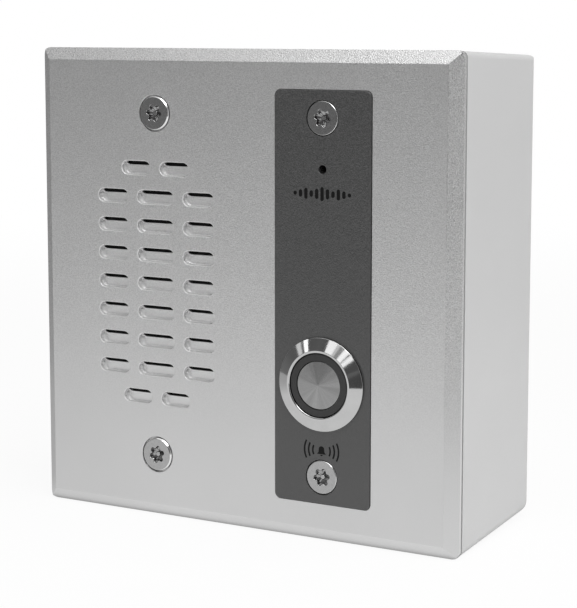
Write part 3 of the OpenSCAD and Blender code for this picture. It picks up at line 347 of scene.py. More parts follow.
def flat_face(shell, y, outer, holes=()):
    """A flat face across Y inside an outline, with holes."""
    points, loops = [], []
    for line in (outer, *holes):
        loop = list(range(len(points), len(points) + len(line)))
        turning = sum(before.cross(after) for before, after in zip(line[-1:] + line[:-1], line))
        loops.append(loop if turning > 0 else loop[::-1])
        points += line
    cut_points, _, triangles, _, _, inside = delaunay_2d_cdt(points, [], loops, triangles_inside, join_gap)
    corners = [shell.verts.new((p.x, y, p.y)) for p in cut_points]
    for triangle, lines in zip(triangles, inside):
        if lines == [0]:
            shell.faces.new([corners[i] for i in triangle]).smooth = False


def piece_of(name, shell, material):
    """Closes a shell's seams, turns its faces outwards and makes it an object of its own."""
    bmesh.ops.remove_doubles(shell, verts=shell.verts, dist=merge_gap)
    bmesh.ops.dissolve_degenerate(shell, dist=sliver, edges=shell.edges)
    bmesh.ops.recalc_face_normals(shell, faces=shell.faces)
    data = bpy.data.meshes.new(name)
    shell.to_mesh(data)
    shell.free()
    data.transform(Matrix.Scale(mm, 4))
    if material:
        data.materials.append(material)
    return new_object(name, data)


def finish(name):
    """A new material and a wire on its tree."""
    material = bpy.data.materials.new(name)
    material.use_nodes = True
    return material, Wire(material.node_tree)


def shade(wire, sockets):
    """Sets or links the sockets of a finish's shader."""
    shader = wire.tree.nodes["Principled BSDF"]
    for key, value in sockets.items():
        wire.plug(shader.inputs[key], value)


def grain_of(wire, size, detail=2.0):
    """Cloudy grain, about size across, on the piece's own coordinates."""
    place = wire.node("ShaderNodeTexCoord", out="Object")
    return wire.node("ShaderNodeTexNoise", None, {
        "Vector": place, "Scale": 1 / (size * mm), "Detail": detail})


def by_height(wire, low_z, low, high_z, high):
    """A value that goes smoothly from low to high between two heights."""
    place = wire.node("ShaderNodeTexCoord", out="Object")
    return wire.node("ShaderNodeMapRange", {"interpolation_type": "SMOOTHSTEP"}, {
        "Value": wire.node("ShaderNodeSeparateXYZ", None, {0: place}, 2),
        "From Min": low_z * mm, "From Max": high_z * mm, "To Min": low, "To Max": high})


def between(wire, share, low, high):
    """A mix of two colours."""
    return wire.node("ShaderNodeMix", {"data_type": "RGBA"}, {0: share, 6: low, 7: high}, 2)


def relief(wire, height, depth):
    """A bump in the surface, depth deep where the height is 1."""
    return wire.node("ShaderNodeBump", None, {"Strength": 1, "Distance": depth * mm, "Height": height})


merge_gap, sliver, join_gap = 1e-4, 1e-5, 1e-7
triangles_inside = 1
panel_low, panel_high = (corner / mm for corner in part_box("front_panel"))
panel_w = panel_high.x - panel_low.x
panel_h = panel_high.z - panel_low.z
panel_t = 3
front_y = panel_low.y
panel_back = front_y + panel_t
bevel_w, bevel_d = 3, 2.2
panel_r = 1.8
panel_worn = 0.14
corner_steps = 8
large_face = 5

strip_low, strip_high = (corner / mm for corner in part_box("label_strip"))
strip_w, strip_h = strip_high.x - strip_low.x, strip_high.z - strip_low.z
strip_x = (strip_low.x + strip_high.x) / 2
strip_front, strip_back = strip_low.y, strip_high.y
strip_r = 1.4
pocket_gap = 0.1

grille_x, grille_z = -23.02, 0.4
grille_wall, grille_pocket_r = 1.5, 3
grille_pocket_low, grille_pocket_high = (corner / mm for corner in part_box("grille_baffle"))
louvre_h = 3.3
louvre_worn = 0.2
louvre_steps, fillet_steps = 12, 5
louvre_fillet, louvre_end_fillet = 0.4, 1.2
fillet_ends, fillet_fade, fillet_least = 0.5, 0.4, 0.02
louvre_sets = (  # length, columns, column pitch, rows, row pitch
    (10.45, 1, 0, 7, 7),
    (8.7, 2, 24.6, 7, 7),
    (8.2, 2, 11, 2, 56),
)

screw_dx, screw_dz = 46.04, 83.34
seat_r, seat_wall, shank_hole_r = 4.36, 0.62, 2.15
seat_worn = 0.18
button_hole_r, button_z = 9.5, -19.7
mic_hole_r, mic_z = 1, 30

blast_size, blast_depth = 0.24, 0.065
face_speckle, bevel_speckle, bevel_relief = 1.3, 1, 0.75
# The grain's colour and relief fade from mid height to a small share at the foot: painted sheen, for the
# bright floor mirrored in the lower metal, which hides the grain.
sheen_fade_low_z, sheen_fade_high_z, sheen_grain_share = -42, 8, 0.04
cloud_size, cloud_spread = 18, 0.06


def blasted_metal(name, low, high, roughness=0.36):
    """Bead blasted and anodised aluminium, its grain stronger on the bevels; the grain fades towards the foot
    as painted sheen.
    """
    material, wire = finish(name)
    grain_and_sheen = (grain_of(wire, blast_size) - 0.5) * by_height(wire, sheen_fade_low_z, sheen_grain_share, sheen_fade_high_z, 1)
    place = wire.node("ShaderNodeTexCoord", out="Object")
    off_middle = [wire.maths("ABSOLUTE", wire.node("ShaderNodeSeparateXYZ", None, {0: place}, axis))
                  for axis in (0, 2)]
    on_bevel = wire.maths("GREATER_THAN", wire.maths("MAXIMUM", *off_middle), (panel_w / 2 - bevel_w) * mm)
    shade(wire, {
        "Base Color": between(wire, 0.5 + grain_and_sheen * (face_speckle + bevel_speckle * on_bevel),
                              grey(low), grey(high)),
        "Metallic": 1,
        "Roughness": roughness + cloud_spread * grain_of(wire, cloud_size),
        "Normal": relief(wire, grain_and_sheen * (1 + bevel_relief * on_bevel), blast_depth),
    })
    return material


blasted = blasted_metal("blasted_aluminium", 0.47, 0.87)
# The baffle and the slot walls are the same metal painted lighter than the face: painted light against the
# shade inside the slots. The slot walls are also rougher.
baffle_metal_painted_light = blasted_metal("baffle_metal_painted_light", 0.62, 0.84)
slot_metal_painted_light = blasted_metal("slot_metal_painted_light", 0.68, 0.9, 0.58)

# The rim: flat bevels that meet in mitres, inside an outline with rounded corners, all edges broken
panel = bmesh.new()
face_half_w, face_half_h = panel_w / 2 - bevel_w, panel_h / 2 - bevel_w
outline = corner_outline(0, 0, panel_w, panel_h, panel_r, corner_steps)()
rim_front, rim_back = [], []
for point in outline:
    out = max(abs(point.x) - face_half_w, abs(point.y) - face_half_h)
    rim_front.append(panel.verts.new((point.x, front_y + bevel_d * out / bevel_w, point.y)))
    rim_back.append(panel.verts.new((point.x, panel_back, point.y)))
face_corners = [panel.verts.new((side_x * face_half_w, front_y, side_z * face_half_h))
                for side_x, side_z in ((1, 1), (-1, 1), (-1, -1), (1, -1))]
panel.faces.new(face_corners)
mitres = [quarter * (corner_steps + 1) + corner_steps // 2 for quarter in range(4)]
for quarter in range(4):
    first, last = mitres[quarter], mitres[(quarter + 1) % 4]
    if last < first:
        last += len(rim_front)
    run = [rim_front[i % len(rim_front)] for i in range(first, last + 1)]
    panel.faces.new(run + [face_corners[(quarter + 1) % 4], face_corners[quarter]])
for i in range(len(rim_front)):
    panel.faces.new((rim_front[i - 1], rim_front[i], rim_back[i], rim_back[i - 1]))
panel_edges = [edge for edge in panel.edges if any(
    all(vert in line for vert in edge.verts) for line in (face_corners, rim_front))]
bmesh.ops.bevel(panel, geom=panel_edges, offset=panel_worn, offset_type="OFFSET", segments=3, profile=0.5,
                affect="EDGES", clamp_overlap=False)
for face in panel.faces:
    face.smooth = face.calc_area() < large_face
blank = max(panel.faces, key=lambda face: face.calc_area())
face_line = [Vector((vert.co.x, vert.co.z)) for vert in blank.verts]
bmesh.ops.delete(panel, geom=[blank], context="FACES_ONLY")

# Rows of pieces: one tree that sets a piece on a grid across the face
grid_tree = bpy.data.node_groups.new("grid_of_pieces", "GeometryNodeTree")
grid_sockets = {
    label: grid_tree.interface.new_socket(label, in_out="INPUT", socket_type="NodeSocket" + kind).identifier
    for label, kind in (("Piece", "Object"), ("Columns", "Int"), ("Column pitch", "Float"), ("Rows", "Int"),
                        ("Row pitch", "Float"), ("Middle", "Vector"), ("Turn", "Float"), ("Seed", "Int"),
                        ("Finish", "Material"))}
grid_tree.interface.new_socket("Pieces", in_out="OUTPUT", socket_type="NodeSocketGeometry")
wire = Wire(grid_tree)
given = {label: wire.node("NodeGroupInput", out=label) for label in grid_sockets}
points = wire.node("GeometryNodeMeshGrid", None, {
    "Size X": (given["Columns"] - 1) * given["Column pitch"],
    "Size Y": (given["Rows"] - 1) * given["Row pitch"],
    "Vertices X": given["Columns"], "Vertices Y": given["Rows"]})
points = wire.node("GeometryNodeTransform", None, {
    "Geometry": points, "Translation": given["Middle"], "Rotation": (math.pi / 2, 0, 0)})
turn = wire.node("FunctionNodeRandomValue", {"data_type": "FLOAT"}, {
    2: 0.0, 3: given["Turn"], 8: given["Seed"]}, 1)
copies = wire.node("GeometryNodeInstanceOnPoints", None, {
    "Points": points, "Instance": wire.node("GeometryNodeObjectInfo", None, {"Object": given["Piece"]}, 4),
    "Rotation": wire.node("ShaderNodeCombineXYZ", None, {"Y": turn})})
copies = wire.node("GeometryNodeRealizeInstances", None, {"Geometry": copies})
copies = wire.node("GeometryNodeSetMaterial", None, {"Geometry": copies, "Material": given["Finish"]})
wire.node("NodeGroupOutput", None, {0: copies})


def grid_mesh(name, piece, material, columns, column_pitch, rows, row_pitch, middle, turn=0.0, seed=0):
    """The plain mesh of a piece set out on a grid; the single piece is used up."""
    host = new_object(name, bpy.data.meshes.new(name))
    grid = host.modifiers.new("grid", "NODES")
    grid.node_group = grid_tree
    for label, value in (("Piece", piece), ("Columns", columns), ("Column pitch", column_pitch * mm),
                         ("Rows", rows), ("Row pitch", row_pitch * mm), ("Middle", [c * mm for c in middle]),
                         ("Turn", turn), ("Seed", seed), ("Finish", material)):
        grid[grid_sockets[label]] = value
    copied = bpy.data.meshes.new_from_object(host.evaluated_get(bpy.context.evaluated_depsgraph_get()))
    bpy.data.objects.remove(host)
    bpy.data.objects.remove(piece)
    return copied


def add_mesh(shell, data, paint):
    """Adds a finished mesh, in metres, to a shell in millimetres; paint is its material's number."""
    data.transform(Matrix.Scale(1 / mm, 4))
    for face in data.polygons:
        face.material_index = paint
    shell.from_mesh(data)
    bpy.data.meshes.remove(data)


# The louvres: straight slots with round ends and a broken front edge. A baffle plate of the same metal lies
# behind them in the rear pocket, its slots set higher, so that only a dark slit shows under each upper lip.
# A fillet runs round the foot of each wall, below and at both ends, and dies out towards the slit.
face_holes, pocket_holes = [], []
grille_back = front_y + grille_wall
for length, columns, column_pitch, rows, row_pitch in louvre_sets:
    scoop = bmesh.new()
    scoop_line = corner_outline(0, 0, length, louvre_h, louvre_h / 2, louvre_steps)
    wall_rings = stations(scoop_line, worn_edge(louvre_worn, 0, 1, fillet_steps))
    foot = []
    for inner, outer in zip(scoop_line(), scoop_line(1)):
        away = outer - inner
        r = louvre_fillet + (louvre_end_fillet - louvre_fillet) * max(-away.x, 0)
        share = min(max((fillet_ends - away.y) / fillet_fade, fillet_least), 1)
        foot.append((inner, away, r * share))
    for step in range(fillet_steps + 1):
        a = math.pi / 2 * step / fillet_steps
        ring = []
        for inner, away, r in foot:
            p = inner - away * r * (1 - math.cos(a))
            ring.append(Vector((p.x, grille_wall - r + r * math.sin(a), p.y)))
        wall_rings.append(ring)
    skin(scoop, wall_rings, sharp=(0, len(wall_rings) - 1))
    scoop_piece = piece_of("scoop", scoop, None)
    scoops = grid_mesh("scoops", scoop_piece, slot_metal_painted_light, columns, column_pitch, rows, row_pitch,
                       (grille_x, front_y, grille_z))
    add_mesh(panel, scoops, 1)
    for column in range(columns):
        for row in range(rows):
            x = grille_x + (column - (columns - 1) / 2) * column_pitch
            z = grille_z + (row - (rows - 1) / 2) * row_pitch
            line = corner_outline(x, z, length, louvre_h, louvre_h / 2, louvre_steps)
            face_holes.append(line(louvre_worn))
            pocket_holes.append(line())

# Pocket of the strip, screw seats and the holes behind the strip
strip_pocket = corner_outline(
    strip_x, 0, strip_w + 2 * pocket_gap, strip_h + 2 * pocket_gap, strip_r + pocket_gap)
pocket_stations = worn_edge(panel_worn / 2, front_y, 1) + [(0, strip_back)]
skin(panel, stations(strip_pocket, pocket_stations), sharp=(0, 3, 4))
face_holes.append(strip_pocket(panel_worn / 2))
pocket_floor_holes, back_holes = [], []
for side in (-1, 1):
    for end in (-1, 1):
        x, z = side * screw_dx / 2, end * screw_dz / 2
        shank = round_outline(x, z, shank_hole_r)
        if side < 0:
            seat = round_outline(x, z, seat_r)
            head_line = worn_edge(seat_worn, front_y, 1)
            head_line += [(0, front_y + seat_wall), (-seat_wall, front_y + seat_wall)]
            face_holes.append(seat(seat_worn))
        else:
            seat = round_outline(x, z, seat_r - (strip_back - front_y))
            head_line = [(0, strip_back)]
            pocket_floor_holes.append(seat())
        skin(panel, stations(seat, head_line) + stations(
            shank, [(0, front_y + seat_r - shank_hole_r), (0, panel_back)]), sharp=range(len(head_line) + 1))
        back_holes.append(shank())
for hole in (round_outline(strip_x, button_z, button_hole_r), round_outline(strip_x, mic_z, mic_hole_r)):
    skin(panel, stations(hole, [(0, strip_back), (0, panel_back)]), sharp=(0, 1))
    pocket_floor_holes.append(hole())
    back_holes.append(hole())
flat_face(panel, front_y, face_line, face_holes)
flat_face(panel, strip_back, strip_pocket(), pocket_floor_holes)

# Rear of the plate: pocket behind the louvres, locating rim, speaker bosses and microphone holder
grille_pocket = corner_outline(
    (grille_pocket_low.x + grille_pocket_high.x) / 2, (grille_pocket_low.z + grille_pocket_high.z) / 2,
    grille_pocket_high.x - grille_pocket_low.x + 2 * pocket_gap,
    grille_pocket_high.z - grille_pocket_low.z + 2 * pocket_gap, grille_pocket_r)
skin(panel, stations(grille_pocket, [(0, grille_back), (0, panel_back)]), sharp=(0, 1))
flat_face(panel, grille_back, grille_pocket(), pocket_holes)
flat_face(panel, panel_back, outline, back_holes + [grille_pocket()])
rim_w, rim_t, rim_h = 108.2, 1.5, 3
rim_out_r, rim_in_r, rim_steps = 1.5, 0.2, 4
rim_out = corner_outline(0, 0, rim_w, rim_w, rim_out_r, rim_steps)
rim_in = corner_outline(0, 0, rim_w - 2 * rim_t, rim_w - 2 * rim_t, rim_in_r, rim_steps)
skin(panel, stations(rim_out, [(0, panel_back), (0, panel_back + rim_h)]) + stations(
    rim_in, [(0, panel_back + rim_h), (0, panel_back)]), sharp=(0, 1, 2, 3), close=True)
speaker_low, speaker_high = (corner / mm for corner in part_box("speaker_basket"))
boss_r, boss_hole_r, boss_h, boss_clear = 2.5, 1.35, 2.2, 3.5
boss_angles = (42, 138, 222, 318)
boss_ring = (speaker_high.x - speaker_low.x) / 2 + boss_clear
mic_tube_r, mic_tube_hole_r, mic_tube_h = 5.75, 4.55, 4
tube_steps = 32
tubes = [(grille_x + boss_ring * math.cos(math.radians(a)), grille_z + boss_ring * math.sin(math.radians(a)),
          boss_r, boss_hole_r, boss_h) for a in boss_angles]
tubes.append((strip_x, mic_z, mic_tube_r, mic_tube_hole_r, mic_tube_h))
for x, z, r, hole_r, height in tubes:
    tube = round_outline(x, z, r, tube_steps)
    skin(panel, stations(tube, [(0, panel_back), (0, panel_back + height),
                                (hole_r - r, panel_back + height), (hole_r - r, panel_back)]),
         sharp=(0, 1, 2, 3), close=True)
front_panel = piece_of("panel_plate", panel, blasted)
# The slot walls take the metal painted lighter, painted light against their shade.
front_panel.data.materials.append(slot_metal_painted_light)
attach(front_panel, "housing")
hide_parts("front_panel")
# The baffle takes the metal painted lighter, painted light against the shade inside the slots.
for held in nodes["grille_baffle"].material_slots:
    held.material = baffle_metal_painted_light

# Label strip
# A thin dark grey plastic plate with a lightly rounded edge, let into its pocket and held there by the bezel.
# It has clearance holes for the two screw heads, a hole for the button and a small one for the microphone.
strip_worn, hole_worn, mic_worn = 0.2, 0.1, 0.22
head_hole_r = 4.18
speck_size, speck_depth = 0.3, 0.08
speck_foot, speck_head = 0.2, 1.7
dark_plastic, wire = finish("dark_plastic")
speck = 0.5 + (grain_of(wire, speck_size) - 0.5) * by_height(
    wire, strip_low.z, speck_foot, strip_high.z, speck_head)
shade(wire, {
    "Base Color": between(wire, speck, grey(0.001), grey(0.077)),
    "Roughness": 0.32 + 0.08 * grain_of(wire, 12),
    "Specular IOR Level": 1,
    "Normal": relief(wire, speck, speck_depth),
})
strip = bmesh.new()
strip_line = corner_outline(strip_x, 0, strip_w, strip_h, strip_r)
strip_edge = worn_edge(strip_worn, strip_front, -1) + [(0, strip_back)]
skin(strip, stations(strip_line, strip_edge), sharp=(0, 3, 4))
front_lines, back_lines = [], []
for z, r, worn in ((screw_dz / 2, head_hole_r, hole_worn), (-screw_dz / 2, head_hole_r, hole_worn),
                   (mic_z, mic_hole_r, mic_worn), (button_z, button_hole_r, hole_worn)):
    hole = round_outline(strip_x, z, r)
    skin(strip, stations(hole, worn_edge(worn, strip_front, 1) + [(0, strip_back)]), sharp=(0, 3, 4))
    front_lines.append(hole(worn))
    back_lines.append(hole())
flat_face(strip, strip_front, strip_line(-strip_worn), front_lines)
flat_face(strip, strip_back, strip_line(), back_lines)
label_strip = piece_of("label_plate", strip, dark_plastic)
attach(label_strip, "housing")
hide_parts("label_strip")

# Printed signs
# Black screen print on the strip: a row of sound bars below the microphone and a bell below the button.
# The print stands a few hundredths of a millimetre proud.
ink_t = 0.03
ink, wire = finish("black_ink")
ink_grain = grain_of(wire, 0.3)
shade(wire, {
    "Base Color": between(wire, ink_grain, grey(0.004), grey(0.012)),
    "Roughness": 0.45 + 0.1 * ink_grain,
    "Specular IOR Level": 0.12,
    "Normal": relief(wire, ink_grain, 0.004),
})


def print_shape(shell, line):
    """One printed shape: its outline raised from the strip."""
    ink_front = strip_front - ink_t
    skin(shell, [[Vector((p.x, y, p.y)) for p in line] for y in (ink_front, strip_front)], sharp=(0, 1))
    flat_face(shell, ink_front, line)
    flat_face(shell, strip_front, line)


bars = bmesh.new()
bar_z = 24.4
bar_w, bar_pitch, bar_steps = 0.85, 1.41, 6
bar_heights = (0.9, 1.7, 2.5, 1.5, 2.3, 3.2, 2.3, 1.5, 2.5, 1.7, 0.9)
for place, bar_h in enumerate(bar_heights, -(len(bar_heights) // 2)):
    bar = corner_outline(strip_x + place * bar_pitch, bar_z, bar_w, bar_h, bar_w / 2, bar_steps)
    print_shape(bars, bar())
sound_bars = piece_of("sound_bars", bars, ink)


def arc_line(z, r, degrees):
    """Points on a circle about the strip's middle line."""
    return [Vector((strip_x + r * math.cos(math.radians(a)), z + r * math.sin(math.radians(a))))
            for a in degrees]


bell = bmesh.new()
bell_z = -35.35
bell_dome_r, bell_dome_z = 0.72, 0.35
bell_waist, bell_waist_drop = 0.77, 0.3
bell_skirt, bell_skirt_drop = 1.15, 0.8
clapper_r, clapper_drop = 0.32, 0.95
sound_radii, sound_w, sound_z, sound_half, sound_step = (2.1, 3.2, 4.3), 0.4, 0.05, 28, 7
bell_line = arc_line(bell_z + bell_dome_z, bell_dome_r, range(0, 181, 15))
bell_line += [Vector((strip_x + reach, bell_z - drop)) for reach, drop in (
    (-bell_waist, bell_waist_drop), (-bell_skirt, bell_skirt_drop),
    (bell_skirt, bell_skirt_drop), (bell_waist, bell_waist_drop))]
print_shape(bell, bell_line)
print_shape(bell, arc_line(bell_z - clapper_drop, clapper_r, range(180, 361, 20)))
for sound_r in sound_radii:
    for facing in (0, 180):
        sweep = range(facing - sound_half, facing + sound_half + 1, sound_step)
        print_shape(bell, arc_line(bell_z + sound_z, sound_r, sweep)
                    + arc_line(bell_z + sound_z, sound_r + sound_w, reversed(sweep)))
call_bell = piece_of("call_bell", bell, ink)
for printed in (sound_bars, call_bell):
    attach(printed, "housing")

# Panel screws
# Four countersunk machine screws of stainless steel with a six-lobe security recess and a pin in its middle.
# Their heads stand a little proud of the face, with a chamfer painted lighter as a painted highlight, and
# hold the panel to the box.
head_r, head_rise, head_land = 4.12, 0.3, 0.1
head_chamfer, head_slope, head_round = 0.28, 1.35, 0.05
screw_shank_r, screw_len, screw_tip = 2, 14, 0.4
lobe_out, lobe_r, lobe_depth, lobe_drop = 2.1, 0.57, 1.2, 0.3
lobe_lip = ((0.15, 0), (0.05, 0.04), (0, 0.12))  # depth and growth of the recess at its rounded lip
pin_r, pin_sink, pin_round = 0.65, 0.6, 0.15
thread_pitch, thread_depth = 0.7, 0.3
screw_steps = 96
# The steel is painted darker from below the head down into the recess and along the shank: painted shade.
recess_shade_from, recess_shade_full, recess_shade_share = 0.3, 1.8, 0.25

screw_steel, wire = finish("screw_steel")
scuff = grain_of(wire, 0.5, 3)
place = wire.node("ShaderNodeTexCoord", out="Object")
across, depth, up = (wire.node("ShaderNodeSeparateXYZ", None, {0: place}, axis) for axis in (0, 1, 2))
off_x = wire.maths("ABSOLUTE", across) - screw_dx / 2 * mm
off_z = wire.maths("ABSOLUTE", up) - screw_dz / 2 * mm
off_axis = wire.maths("SQRT", off_x * off_x + off_z * off_z)
# The chamfer is painted lighter: painted highlight.
painted_chamfer_highlight = wire.maths("GREATER_THAN", off_axis, (head_r - head_chamfer) * mm)
# Painted shade in the recess.
recess_shade = wire.node("ShaderNodeMapRange", None, {
    "Value": depth, "From Min": (front_y + recess_shade_from) * mm, "From Max": (front_y + recess_shade_full) * mm,
    "To Min": 0, "To Max": recess_shade_share})
steel_tone = between(wire, scuff, grey(0.33), grey(0.44))
shade(wire, {
    "Base Color": between(wire, recess_shade, between(wire, painted_chamfer_highlight, steel_tone, grey(0.8)), grey(0.03)),
    "Metallic": 1,
    "Roughness": 0.12 + 0.1 * scuff,
    "Normal": relief(wire, scuff, 0.006),
})


def lobe_reach(a):
    """Radius of the six-lobe recess in one direction."""
    ring = lobe_out - lobe_r
    off = (a + math.pi / 6) % (math.pi / 3) - math.pi / 6
    across = ring * math.sin(off)
    if abs(across) >= lobe_r:
        return ring
    return ring * math.cos(off) + math.sqrt(lobe_r ** 2 - across ** 2)


screw = bmesh.new()
screw_turns = [2 * math.pi * step / screw_steps for step in range(screw_steps)]


def screw_ring(y, r=None, grow=0.0):
    """A ring of the screw: a circle, or the recess grown all round."""
    reach = [r if r is not None else lobe_reach(a) + grow for a in screw_turns]
    return [Vector((d * math.cos(a), y, d * math.sin(a))) for d, a in zip(reach, screw_turns)]


head_y = -head_rise
pin_y = head_y + pin_sink
recess_y = head_y + lobe_depth
chamfer_y = head_y + head_chamfer * head_slope
cone_y = chamfer_y + head_land
screw_rings = [screw_ring(pin_y, 0), screw_ring(pin_y, pin_r - pin_round),
               screw_ring(pin_y + pin_round, pin_r), screw_ring(recess_y + lobe_drop, pin_r),
               screw_ring(recess_y)]
screw_rings += [screw_ring(head_y + down, None, grow) for down, grow in lobe_lip]
screw_rings += [screw_ring(head_y, head_r - head_chamfer - head_round),
                screw_ring(head_y + head_round / 3, head_r - head_chamfer),
                screw_ring(head_y + head_round * head_slope, head_r - head_chamfer + head_round),
                screw_ring(chamfer_y - head_round * head_slope, head_r - head_round),
                screw_ring(chamfer_y, head_r),
                screw_ring(cone_y, head_r),
                screw_ring(cone_y + head_r - screw_shank_r, screw_shank_r)]
thread_y = cone_y + head_r - screw_shank_r + thread_pitch
while thread_y < screw_len - thread_pitch:
    screw_rings += [screw_ring(thread_y, screw_shank_r - thread_depth),
                    screw_ring(thread_y + thread_pitch / 2, screw_shank_r)]
    thread_y += thread_pitch
screw_rings += [screw_ring(screw_len - screw_tip, screw_shank_r - thread_depth),
                screw_ring(screw_len, screw_shank_r - 2 * thread_depth), screw_ring(screw_len, 0)]
crisp_rings = (1, 3, 4, 5, 7, 8, 12, 13, 14)  # of the pin, the recess and the head
skin(screw, screw_rings, sharp=crisp_rings)
screw_piece = piece_of("one_screw", screw, None)
screws_data = grid_mesh("screws", screw_piece, screw_steel, 2, screw_dx, 2, screw_dz, (0, front_y, 0),
                        turn=math.pi / 3, seed=4)
panel_screws = new_object("screw_set", screws_data)
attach(panel_screws, "housing")
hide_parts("panel_screws")


# Button bezel
# A ring of polished steel, turned from one bar with its threaded barrel; a cone runs from its foot up to a
# narrow lip. The barrel goes through strip and panel, and a nut behind the panel holds it.
straight_half = 1.56  # half of a corner's angle, in radians, above which it is left straight


def rounded_profile(points, radii, steps=4):
    """A profile of radius and depth with its corners rounded; gives the points and the ends of the arcs."""
    line, ends = [Vector(points[0])], []
    for before, corner, after, r in zip(points, points[1:], points[2:], radii):
        before, corner, after = Vector(before), Vector(corner), Vector(after)
        back, on = (before - corner).normalized(), (after - corner).normalized()
        half = back.angle(on) / 2
        if r == 0 or half > straight_half:
            ends.append(len(line))
            line.append(corner)
            continue
        middle = corner + (back + on).normalized() * r / math.sin(half)
        start, stop = corner + back * r / math.tan(half), corner + on * r / math.tan(half)
        ends += [len(line), len(line) + steps]
        for step in range(steps + 1):
            spoke = (start - middle).lerp(stop - middle, step / steps).normalized()
            line.append(middle + spoke * r)
    line.append(Vector(points[-1]))
    return line, ends


def turned(shell, points, radii, x, z, y, steps=96):
    """A body turned about an axis along Y from a closed profile."""
    line, ends = rounded_profile([*points, points[0], points[1]], [*radii, 0], 4)
    rings = [[Vector((x + p.x * math.cos(2 * math.pi * i / steps), y + p.y, z + p.x * math.sin(
        2 * math.pi * i / steps))) for i in range(steps)] for p in line[1:-1]]
    skin(shell, rings, sharp=[end - 1 for end in ends], close=True)


bezel_r, bezel_h, bezel_rim = 11, 1.9, 0.6
lip_r, opening_r = 8.15, 7.55
barrel_r, bore_r, barrel_len, shoulder_depth = 9.4, 8.25, 20, 5
seal_in, seal_out, seal_t = 9.45, 10.3, 0.4
barrel_pitch, barrel_thread, thread_start, thread_end = 1, 0.4, 2.5, 1
bezel_profile = [(opening_r, shoulder_depth), (opening_r, -bezel_h), (lip_r, -bezel_h), (bezel_r, -bezel_rim),
                 (bezel_r, 0), (seal_out, 0), (seal_out, -seal_t), (seal_in, -seal_t), (seal_in, 0),
                 (barrel_r, 0)]
bezel_radii = [0.3, 0.2, 0.15, 0.05, 0, 0, 0, 0, 0]
crest = thread_start
while crest < barrel_len - thread_end:
    bezel_profile += [(barrel_r, crest), (barrel_r - barrel_thread, crest + barrel_pitch / 2)]
    bezel_radii += [0, 0]
    crest += barrel_pitch
bezel_profile += [(barrel_r, crest), (barrel_r - barrel_thread, barrel_len), (bore_r, barrel_len),
                  (bore_r, shoulder_depth)]
bezel_radii += [0, 0, 0, 0]

chrome, wire = finish("polished_steel")
smear = grain_of(wire, 3, 3)
shade(wire, {
    "Base Color": between(wire, smear, grey(0.48), grey(0.56)),
    "Metallic": 1,
    "Roughness": 0.04 + 0.08 * smear,
    "Normal": relief(wire, grain_of(wire, 6), 0.01),
})
bezel = bmesh.new()
turned(bezel, bezel_profile, bezel_radii, strip_x, button_z, strip_front)
button_bezel = piece_of("bezel_ring", bezel, chrome)
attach(button_bezel, "housing")
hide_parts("button_bezel")

# Button cap and light ring
# The cap is a spun steel plate with a stem, its face a very shallow cone; fine turning marks run round it,
# and its colour is painted lighter and darker in sectors that fan out from the middle, a painted sheen. A
# smoked plastic ring lies round it, a little below the lip, and both travel with the plunger.
cap_r, cap_t, cap_stem_r, cap_stem_len = 5.7, 1, 1.6, 3.6
ring_out, ring_sink, ring_h, ring_fit = 7.42, 0.3, 2.6, 0.05
cap_rise, tip_share, tip_round = 0.45, 0.05, 0.2
ring_round = 0.2
mark_w = 0.05
mark_depth = mark_w / 9
painted_sheen_scale, painted_sheen_share = 2, 0.75

spun, wire = finish("spun_steel")
place = wire.node("ShaderNodeTexCoord", out="Object")
centred = wire.node("ShaderNodeVectorMath", {"operation": "MULTIPLY_ADD"}, {
    0: place, 1: (1, 0, 1), 2: (-strip_x * mm, 0, -button_z * mm)})
radius = wire.node("ShaderNodeVectorMath", {"operation": "LENGTH"}, {0: centred}, 1)
marks = wire.node("ShaderNodeTexNoise", {"noise_dimensions": "1D"}, {
    "W": radius, "Scale": 1 / (mark_w * mm), "Detail": 2})
around = wire.maths("ARCTAN2", wire.node("ShaderNodeSeparateXYZ", None, {0: centred}, 2),
                    wire.node("ShaderNodeSeparateXYZ", None, {0: centred}, 0))
# Lighter and darker sectors round the middle: painted sheen.
painted_sheen_fan = wire.node("ShaderNodeTexNoise", {"noise_dimensions": "1D"}, {
    "W": around, "Scale": painted_sheen_scale, "Detail": 2})
shade(wire, {
    "Base Color": between(wire, painted_sheen_share * painted_sheen_fan + (1 - painted_sheen_share) * marks, grey(0.15), grey(0.44)),
    "Metallic": 1,
    "Roughness": 0.2 + 0.08 * painted_sheen_fan,
    "Normal": relief(wire, marks, mark_depth),
})
cap = bmesh.new()
cone = [(cap_r * share, cap_rise * share - bezel_h) for share in (0, tip_share, 1)]
turned(cap, cone + [(cap_r, cap_t - bezel_h), (cap_stem_r, cap_t - bezel_h),
                    (cap_stem_r, cap_t - bezel_h + cap_stem_len), (0, cap_t - bezel_h + cap_stem_len)],
       [0, tip_round, 0, 0, 0, 0], strip_x, button_z, strip_front)
button_cap = piece_of("cap_plate", cap, spun)
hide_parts("button_cap")

smoked, wire = finish("smoked_plastic")
haze = grain_of(wire, 0.8)
shade(wire, {
    "Base Color": between(wire, haze, grey(0.016), grey(0.03)),
    "Roughness": 0.28 + 0.12 * haze,
    "Normal": relief(wire, haze, 0.005),
})
ring = bmesh.new()
turned(ring, [(cap_r + ring_fit, ring_sink - bezel_h), (ring_out, ring_sink - bezel_h),
              (ring_out, ring_sink - bezel_h + ring_h), (cap_r + ring_fit, ring_sink - bezel_h + ring_h)],
       [ring_round, 0, 0], strip_x, button_z, strip_front)
light_ring = piece_of("light_ring", ring, smoked)
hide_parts("button_light_ring")
for moving in (button_cap, light_ring):
    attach(moving, "call_button")

